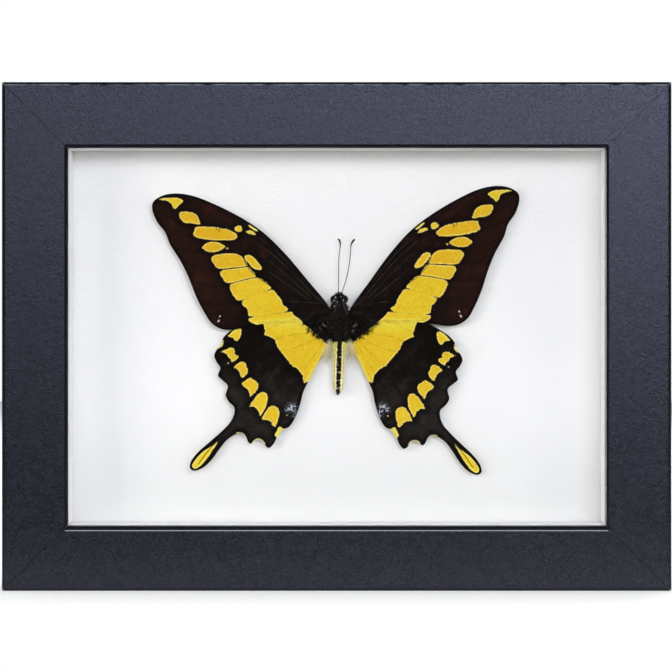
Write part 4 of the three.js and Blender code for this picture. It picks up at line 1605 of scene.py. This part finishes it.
    def pale_tufts(self, dressing: Dressing) -> None:
        """Grows the pale lines of the head and collar, then the pale tufts beside the thorax.

        Args:
            dressing: Its material, body and slot.
        """
        tufts = Hairs("collar_tufts", 12, HairCut(0.35, 0.85, 0.024, 0.35, 0.4))
        for route in self.TUFT_LINES:
            x, z = through(route, spacing=0.085).T
            inward = self.y - 0.1 - 2.3 * np.sqrt(np.clip(1 - ((x - self.x) / 3.1) ** 2, 0.05, 1))
            roots = spots(x, np.where(z > 86.2, self.y - 1.5, inward), z)
            tufts.add(roots + tufts.random.normal(0, 0.06, roots.shape), (0.0, -0.55, -1.0), 0.5, 0.4)
        for start, end, count in self.SIDE_TUFTS:
            a, b = (np.array([x, self.y - 1.5, z]) for x, z in (start, end))
            share = tufts.random.uniform(0, 0.8, count)[:, None]
            roots = a + (b - a) * share + tufts.random.normal(0, 0.16, (count, 3))
            tufts.add(roots, (b - a) + np.array([0, -0.15, 0]), 0.8, 0.2)
        tufts.build(dressing)

    def head_dots(self, dressing: Dressing) -> None:
        """Grows the small white dots of the head and collar, each a close bunch of short scales.

        Args:
            dressing: Its material, body and slot.
        """
        coat = Hairs("head_dots", 16, HairCut(0.2, 0.5, 0.042, 0.3, 0.5))
        for (x, z), count in self.DOTS:
            roots = np.array([x, self.y - 1.75, z]) + coat.random.normal(0, 0.11, (count, 3))
            coat.add(roots, (0.0, -0.5, -1.0), 0.6, 0.4)
        coat.build(dressing)

    def head_hair(self, dressing: Dressing) -> None:
        """Grows the short hair of the head and palps.

        Args:
            dressing: Its material, body and slot.
        """
        coat = Hairs("head_hair", 13, HairCut(0.35, 0.75, 0.026, 0.3, 0.35))
        points, normals = coat.on_ball(800, (self.x, self.y, self.head_z), self.head_half)
        coat.add(points, normals + np.array([0, 0, 0.2]), 0.25, 0.3)
        palps, ways = coat.on_ball(260, (self.x, self.y - 0.35, self.head_z + 0.8), (0.85, 0.4, 0.7))
        coat.add(palps, ways + np.array([0, -0.2, 0.6]), 0.3, 0.3)
        coat.build(dressing, (0, 0, 0.4))

    def abdomen_hair(self, dressing: Dressing) -> None:
        """Grows the abdomen's short flat-lying scales and hair, in the colours of what they grow on.

        Args:
            dressing: Its material, body and slot.
        """
        count = 1500
        coat = Hairs("abdomen_hair", 14, HairCut(0.3, 0.6, 0.026, 0.2, 0.2))
        share = coat.random.uniform(0.02, 0.97, count)
        angle = coat.random.uniform(0, math.tau, count)
        radius = np.array([self.girth(s) for s in share])
        down = share * self.abdomen_length
        middle = self.abdomen_x - down * math.sin(math.radians(self.abdomen_lean))
        across, deep = np.cos(angle), np.sin(angle)
        roots = spots(middle + across * radius, self.y + deep * radius, self.abdomen_top - down)
        coat.add(roots, spots(across * 0.35, deep * 0.35, -1.0))
        coat.build(dressing)


@dataclass(frozen=True)
class Fan:
    """Strands planted near a line on a wing: their way in the wing's plane, their number and shade."""

    route: Line
    way: Point
    count: int
    shade: float

    def plant(self, coat: Hairs, wing: Wing) -> None:
        """Adds the strands to a coat.

        Args:
            coat: The coat that they join.
            wing: The wing that they grow on.
        """
        line = through(self.route, spacing=0.05)
        picked = line[coat.random.integers(0, len(line), self.count)]
        picked = picked + coat.random.normal(0, 0.35, (self.count, 2))
        roots = wing.stand(picked, 0.1)
        ends = picked + np.asarray(self.way) + coat.random.normal(0, 0.22, (self.count, 2))
        coat.add(roots, wing.stand(ends, 0.35) - roots, self.shade, 0.35)


@dataclass(frozen=True)
class Feeler:
    """One antenna: a ringed shaft that swells into its club."""

    name: str
    route: Line
    y: float
    shaft: float = 0.125
    club: float = 0.3

    def build(self, dressing: Dressing) -> None:
        """Models the antenna and dresses it.

        Args:
            dressing: Its material, body and slot.
        """
        x, z = through(self.route, spacing=0.12).T
        share = np.linspace(0, 1, len(x))
        swell = eased(share, 0.82, 0.95) - 0.55 * eased(share, 0.975, 1.0)
        radii = self.shaft + (self.club - self.shaft) * swell
        radii = radii * (1 + 0.1 * np.cos(np.arange(len(x)) * math.tau / 4))
        radii[0] = 1.6 * self.shaft
        dressing.on(Bench.rod(f"{self.name}_ringed", spots(x, self.y, z), radii), [self.name])


@dataclass(frozen=True)
class Leg:
    """One folded leg: thick upper part, thinner shin and a five-jointed foot."""

    name: str
    route: tuple[Point3, ...]
    side: Side
    origin: Point3

    def build(self, dressing: Dressing) -> None:
        """Models the leg and dresses it.

        Args:
            dressing: Its material, body and slot.
        """
        picked = np.asarray(self.route) * np.array([self.side.value, 1, 1])
        start = picked[0] * np.array([0.72, 0.8, 1])
        line = through(np.vstack([start, picked]) + np.array(self.origin), spacing=0.16)
        share = np.linspace(0, 1, len(line))
        radii = 0.24 - 0.06 * eased(share, 0.3, 0.5) - 0.07 * eased(share, 0.6, 0.95)
        foot = share > 0.66
        radii[foot] *= 1 + 0.16 * np.cos(np.arange(foot.sum()) * math.tau / 5)
        for joint in (0.12, 0.38, 0.66):
            radii *= 1 - 0.22 * np.exp(-(((share - joint) / 0.018) ** 2))
        name = f"leg_{self.name}_{self.side.name.lower()}"
        dressing.on(Bench.rod(f"{name}_jointed", line, radii, 2), [name])


@dataclass(frozen=True)
class Proboscis:
    """The rolled tongue: two and a half turns that thin towards the middle."""

    x: float = 0.8
    y: float = 3.45
    z: float = 87.85
    outer: float = 0.62
    inner: float = 0.16
    turns: float = 2.5

    def build(self, dressing: Dressing) -> None:
        """Models the coil and dresses it.

        Args:
            dressing: Its material, body and slot.
        """
        share = np.linspace(0, 1, 110)
        angle = math.pi - share * self.turns * math.tau
        radius = self.outer + (self.inner - self.outer) * share
        coil = spots(self.x, self.y + radius * np.cos(angle), self.z + radius * np.sin(angle))
        lead = np.array([[self.x, self.y - 1.25, self.z - 0.3], [self.x, self.y - 0.9, self.z - 0.1]])
        line = through(np.vstack([lead, coil[::4]]), spacing=0.07)
        dressing.on(Bench.rod("proboscis_rolled", line, np.linspace(0.15, 0.06, len(line)), 2), ["proboscis"])


@dataclass
class Butterfly:
    """The spread swallowtail, put together from its wings, body, antennae, legs and hair."""

    fore_y: float = 0.5
    hind_y: float = 1.15

    FORE_ROOT = (
        Fan(((0.5, -0.5), (4.5, -1.2), (7, -3)), (1.0, -0.5), 240, 0.35),
        Fan(((0, -3), (4, -3.6), (7, -4)), (0.6, -0.9), 160, 0.25),
        Fan(((0.4, 0.5), (4, 3.6)), (0.7, 0.9), 90, 0.4),
    )
    HIND_ROOT = (Fan(((-0.6, -2.8), (2.4, -1.6), (4.4, -0.6)), (0.7, -0.8), 480, 0.2),)
    HIND_LOCKS = (Fan(((-0.9, -3.6), (0.5, -4), (2.4, -3.1), (4.4, -1.9), (6.6, -0.4)), (0.75, -1.0), 95, 0.05),)
    FORE_LOCKS = (Fan(((3.6, -4), (6, -4.2), (8.6, -3.9)), (0.8, -0.9), 26, 0.05),)
    FRINGE = (
        Fan(((-0.3, -3.8), (0.4, -5.6), (1.4, -7.8)), (-0.2, -1.0), 110, 0.5),
        Fan(((-0.9, -3.8), (-0.8, -6.4)), (-0.05, -1.0), 120, 0.6),
        Fan(((-0.7, -3.4), (-0.1, -4.4)), (0.1, -1.0), 70, 0.95),
    )
    ANTENNAE = {
        "left": (
            (0.62, 88.7), (0.58, 89.4), (0.6, 93), (0.7, 100), (1.05, 103), (1.1, 104.3), (0.85, 105.2),
            (0.4, 105.7),
        ),
        "right": (
            (1.3, 88.7), (1.6, 89.4), (2.8, 93), (3.8, 97.6), (4.25, 102), (4.4, 103.8), (4.95, 104.9),
            (5.55, 105.6),
        ),
    }
    LEGS = {
        "front": ((2.2, 1.7, 2.9), (3.9, 1.9, 4.3), (4.7, 2.3, 2.2), (3.6, 2.8, 0.1)),
        "middle": ((3, 1.6, 0.8), (5, 1.8, 1.4), (5.7, 2.3, -2.6), (4.9, 2.8, -5)),
        "hind": ((2.9, 1.6, -1.8), (4.3, 1.9, -3), (3.5, 2.3, -7.4), (2.6, 2.6, -10.6)),
    }

    def __post_init__(self) -> None:
        """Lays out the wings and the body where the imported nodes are."""
        self.body = Body()
        self.forewings = (
            Wing("forewing_right", FOREWING, Side.RIGHT, (4.05, self.fore_y, 84), 0, 1.0055),
            Wing("forewing_left", FOREWING, Side.LEFT, (-2.35, self.fore_y, 84.9), -4, 1.0055),
        )
        self.hindwings = (
            Wing("hindwing_right", HINDWING, Side.RIGHT, (4.05, self.hind_y, 79.2), 0, 1.005),
            Wing("hindwing_left", HINDWING, Side.LEFT, (-2.2, self.hind_y, 79), 2.7, 1.015),
        )

    def wing_hair(self, fur: Dressing, cream: Dressing) -> None:
        """Grows the dark hair and locks of the wings' roots, then the pale hair of the inner margins.

        Args:
            fur: The dark hair's dressing.
            cream: The pale hair's dressing.
        """
        fore, hind = self.forewings, self.hindwings
        for coat, fans, dressing, comb in (
            (
                Hairs("wing_root_hair", 21, HairCut(0.8, 1.9, 0.034, 0.15, 0.12)),
                ((fore, self.FORE_ROOT), (hind, self.HIND_ROOT)), fur, (0, 0, -1),
            ),
            (
                Hairs("wing_root_locks", 23, HairCut(0.7, 1.5, 0.11, 0.1, 0.1)),
                ((hind, self.HIND_LOCKS), (fore, self.FORE_LOCKS)), fur, (0, 0, -1),
            ),
            (
                Hairs("inner_margin_hair", 22, HairCut(2.0, 5.4, 0.027, 0.06, 0.14)),
                ((hind, self.FRINGE),), cream, (0, 0.3, -0.3),
            ),
        ):
            for wings, planted in fans:
                for wing in wings:
                    for fan in planted:
                        fan.plant(coat, wing)
            coat.build(dressing, comb)

    def build(self) -> None:
        """Models and dresses the whole insect."""
        warm = WingScales("forewing_scales", srgb(13, 8, 5), srgb(33, 15, 9), srgb(54, 27, 17))
        cool = WingScales("hindwing_scales", srgb(12, 5, 1), srgb(33, 29, 26), srgb(48, 44, 39))
        for wings, finish in ((self.forewings, warm), (self.hindwings, cool)):
            dressing = Dressing(finish.make(), "wing_scales")
            for wing in wings:
                wing.build(dressing)
        body = self.body
        fur, pale, cream, white = (
            Dressing(HairCoat(name, srgb(*dark), srgb(*light)).make(), "body_fur")
            for name, dark, light in (
                ("body_hair", (8, 6, 6), (70, 61, 54)),
                ("pale_hair", (58, 52, 46), (150, 138, 128)),
                ("cream_hair", (204, 184, 130), (248, 240, 196)),
                ("white_scales", (176, 170, 164), (244, 242, 238)),
            )
        )
        top = (body.abdomen_x, body.y, body.abdomen_top)
        rings = RingedAbdomen(top, body.abdomen_lean, body.abdomen_length, body.rings)
        scales = Dressing(rings.make(), "abdomen")
        body.shells(fur, Dressing(EyeLens().make(), "cuticle"))
        body.abdomen(scales)
        body.thorax_hair(fur)
        body.thorax_locks(fur)
        body.pale_tufts(pale)
        body.head_dots(white)
        body.head_hair(fur)
        body.abdomen_hair(scales)
        self.wing_hair(fur, cream)
        horn = Dressing(DryCuticle().make(), "cuticle")
        straw_finish = DryCuticle("straw_cuticle", srgb(150, 132, 100), srgb(204, 188, 152))
        straw = Dressing(straw_finish.make(), "cuticle")
        for name, route in self.ANTENNAE.items():
            Feeler(f"antenna_{name}", route, body.y).build(horn)
        for name, route in self.LEGS.items():
            for side in Side:
                leg = Leg(name, route, side, (body.x, body.y, body.thorax_z))
                leg.build(straw if name == "hind" else horn)
        Proboscis().build(horn)


# ---------------------------------------------------------------- frame, stack and back


@dataclass(frozen=True)
class BoxFrame:
    """The four mouldings, the glass and boards between them, and the hardware on the back.

    Sizes in millimetres, angles in degrees. The bevels soften the edges of the small hardware.
    """

    half_width: float = 100.0
    half_height: float = 76.0
    face: float = 19.4
    front: float = -15.0
    point_bevel: float = 0.06
    hanger_bevel: float = 0.05
    bumper_bevel: float = 0.12
    flat_angle: float = 0.5
    sharp_angle: float = 38
    bevel_angle: float = 40

    RAILS = ("top", "bottom", "left", "right")
    POINTS = ("top_1", "top_2", "bottom_1", "bottom_2", "left", "right")

    def copy(self, node: str, name: str, dressing: Dressing, bevel: float = 0.0) -> None:
        """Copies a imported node's shape as a closed mesh with softened edges, and dresses it in its place.

        Args:
            node: The node to copy.
            name: The new piece's name.
            dressing: Its material, body and slot.
            bevel: The width of the softened edge, in millimetres, or 0 for none.
        """
        piece = Bench.settle(Bench.add(name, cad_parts[node].data.copy()))
        with Bench.editing(piece):
            bpy.ops.mesh.dissolve_limited(angle_limit=math.radians(self.flat_angle))
        if bevel:
            limit = math.radians(self.bevel_angle)
            Bench.apply(piece, "BEVEL", width=bevel * MM, segments=2, limit_method="ANGLE", angle_limit=limit)
        Bench.smooth(piece, self.sharp_angle)
        dressing.on(Bench.apply(piece, "WEIGHTED_NORMAL", mode="FACE_AREA", weight=100, keep_sharp=True), [node])

    def redress(self, material: bpy.types.Material, *nodes: str) -> None:
        """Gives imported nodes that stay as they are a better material.

        Args:
            material: The better material.
            nodes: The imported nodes.
        """
        for node in nodes:
            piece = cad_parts[node]
            piece.data.materials.clear()
            piece.data.materials.append(material)
            LOG.info("%s: %s", node, material.name)

    def build(self) -> None:
        """Finishes the rails, the glass and boards between them, and the hardware on the back."""
        finish = SatinLacquer(self.half_width, self.half_height, self.face, self.front)
        lacquer = Dressing(finish.make(), "moulding")
        for rail in self.RAILS:
            self.copy(f"rail_{rail}", f"moulding_{rail}", lacquer)
        self.redress(PaneGlass().make(), "glass")
        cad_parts["glass"].visible_shadow = False
        self.redress(PaperBoard().make(), "mount_board")
        # the lining's third colour, its painted shade lower down, is nearly as white as the rest
        lining = PaperBoard("lining_paper", srgb(252, 252, 251), srgb(248, 248, 247), srgb(248, 247, 247))
        self.redress(lining.make(), *(f"spacer_{rail}" for rail in self.RAILS))
        self.redress(FoamPad().make(), "mounting_pad")
        self.redress(RawHardboard().make(), "backing_board")
        zinc_finish = PlatedMetal("zinc_plate", srgb(196, 199, 203), srgb(138, 141, 146))
        brass_finish = PlatedMetal("brass_plate", srgb(214, 178, 104), srgb(158, 122, 62), 0.3)
        zinc = Dressing(zinc_finish.make(), "zinc_steel")
        brass = Dressing(brass_finish.make(), "brass_plate")
        rubber = Dressing(MattRubber().make(), "rubber")
        for place in self.POINTS:
            self.copy(f"point_{place}", f"framers_point_{place}", zinc, self.point_bevel)
        self.copy("hanger", "sawtooth_hanger", brass, self.hanger_bevel)
        for side in ("left", "right"):
            self.copy(f"hanger_nail_{side}", f"hanger_nail_{side}_round", zinc)
            self.copy(f"bumper_{side}", f"bumper_{side}_round", rubber, self.bumper_bevel)


# ---------------------------------------------------------------- studio


@dataclass(frozen=True)
class Lamp:
    """A soft rectangular lamp aimed at the middle of the frame, in metres and watts."""

    name: str
    place: Point3
    size: Point
    power: float
    colour: Point3
    mirrored: bool = False

    AIM = (0, 0, 0.076)

    def build(self) -> None:
        """Hangs the lamp."""
        light = bpy.data.lights.new(self.name, "AREA")
        light.shape = "RECTANGLE"
        light.size, light.size_y = self.size
        light.energy = self.power
        light.color = self.colour
        lamp = Bench.add(self.name, light)
        lamp.location = self.place
        lamp.visible_glossy = self.mirrored
        lamp.visible_transmission = self.mirrored
        lamp.rotation_euler = (Vector(self.AIM) - Vector(self.place)).to_track_quat("-Z", "Y").to_euler()


@dataclass
class Studio:
    """Pale floor, soft lights and the camera. Lengths in metres."""

    camera_at: Point3 = (-0.00019, -0.815, 0.07613)
    view_width: float = 0.200507
    view_distance: float = 0.8
    sensor: float = 36.0
    floor_size: float = 2.4
    floor_reach: float = 0.075
    floor_drop: float = 0.00005
    floor_glow: float = 0.4
    white: Colour = (1.0, 1.0, 1.0, 1.0)

    LAMPS = (
        Lamp("key_lamp", (-0.1, -1.45, 0.39), (0.82, 0.27), 4.7, (0.86, 0.9, 1.0), mirrored=True),
        Lamp("gleam_lamp", (0.4, -1.42, 0.37), (0.32, 0.24), 3.9, (0.86, 0.9, 1.0), mirrored=True),
        Lamp("fill_lamp", (0.0, -1.4, 0.18), (1.0, 0.45), 3.9, (1.0, 0.965, 0.91)),
        Lamp("left_lamp", (-1.0, -1.0, 0.2), (0.6, 0.6), 6.0, (1.0, 0.975, 0.93)),
        Lamp("right_lamp", (1.0, -1.0, 0.2), (0.6, 0.6), 4.2, (1.0, 0.975, 0.93)),
        Lamp("top_lamp", (0.0, 0.15, 1.5), (1.4, 0.9), 13, (1.0, 1.0, 1.0)),
        Lamp("back_lamp", (0.3, 1.3, 0.9), (1.2, 0.8), 10, (1.0, 1.0, 1.0)),
    )

    def camera(self) -> None:
        """Sets the camera square to the front."""
        lens = bpy.data.cameras.new("camera")
        lens.sensor_width = self.sensor
        lens.lens = self.sensor * self.view_distance / self.view_width
        lens.clip_end = 50
        camera = Bench.add("camera", lens)
        camera.location = self.camera_at
        camera.rotation_euler = (math.pi / 2, 0, 0)
        bpy.context.scene.camera = camera

    def floor(self) -> None:
        """Lays the table top, which ends a little way in front so that the glass doesn't mirror it."""
        Bench.clear()
        place = (0, self.floor_size / 2 - self.floor_reach, -self.floor_drop)
        bpy.ops.mesh.primitive_plane_add(size=self.floor_size, location=place)
        floor = bpy.context.object
        floor.name = "studio_floor"
        bpy.ops.object.transform_apply(location=True, rotation=True, scale=True)
        s = Shader("studio_floor")
        colour = s.layers(srgb(240, 241, 243), (s.noise(30), srgb(244, 245, 246)))
        glow = {"Emission Strength": self.floor_glow, "Emission Color": self.white}
        floor.data.materials.append(s.principled(colour, 0.9, specular=0.1, **glow))

    def sky(self) -> None:
        """Sets a white surround: bright overhead, dim at eye level so that the glass mirrors little."""
        s = Shader("studio", world=True)
        bpy.context.scene.world = s.owner
        rise = s.axes(s.wire("TexCoord", {}, "Generated"))[2]
        ends = {"Value": rise, "From Min": 0.15, "From Max": 0.6, "To Min": 0.01, "To Max": 0.1}
        strength = s.wire("MapRange", ends, interpolation_type="SMOOTHSTEP")
        lit = s.wire("Background", {"Color": (0.93, 0.96, 1.0, 1), "Strength": strength})
        seen = s.wire("Background", {"Color": self.white, "Strength": 1.0})
        by_camera = s.wire("LightPath", {}, "Is Camera Ray")
        s.wire("OutputWorld", {"Surface": s.wire("MixShader", {0: by_camera, 1: lit, 2: seen})})

    def build(self) -> None:
        """Sets the whole studio up."""
        self.camera()
        self.floor()
        self.sky()
        for lamp in self.LAMPS:
            lamp.build()
        bpy.context.scene.view_settings.view_transform = "Standard"


def main() -> None:
    """Builds the frame, the butterfly and the studio in order."""
    logging.basicConfig(level=logging.INFO, format="%(name)s: %(message)s")
    for part in (BoxFrame(), Butterfly(), Studio()):
        LOG.info("building %s", type(part).__name__)
        part.build()
    Bench.clear()
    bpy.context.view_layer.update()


if __name__ == "__main__":
    main()
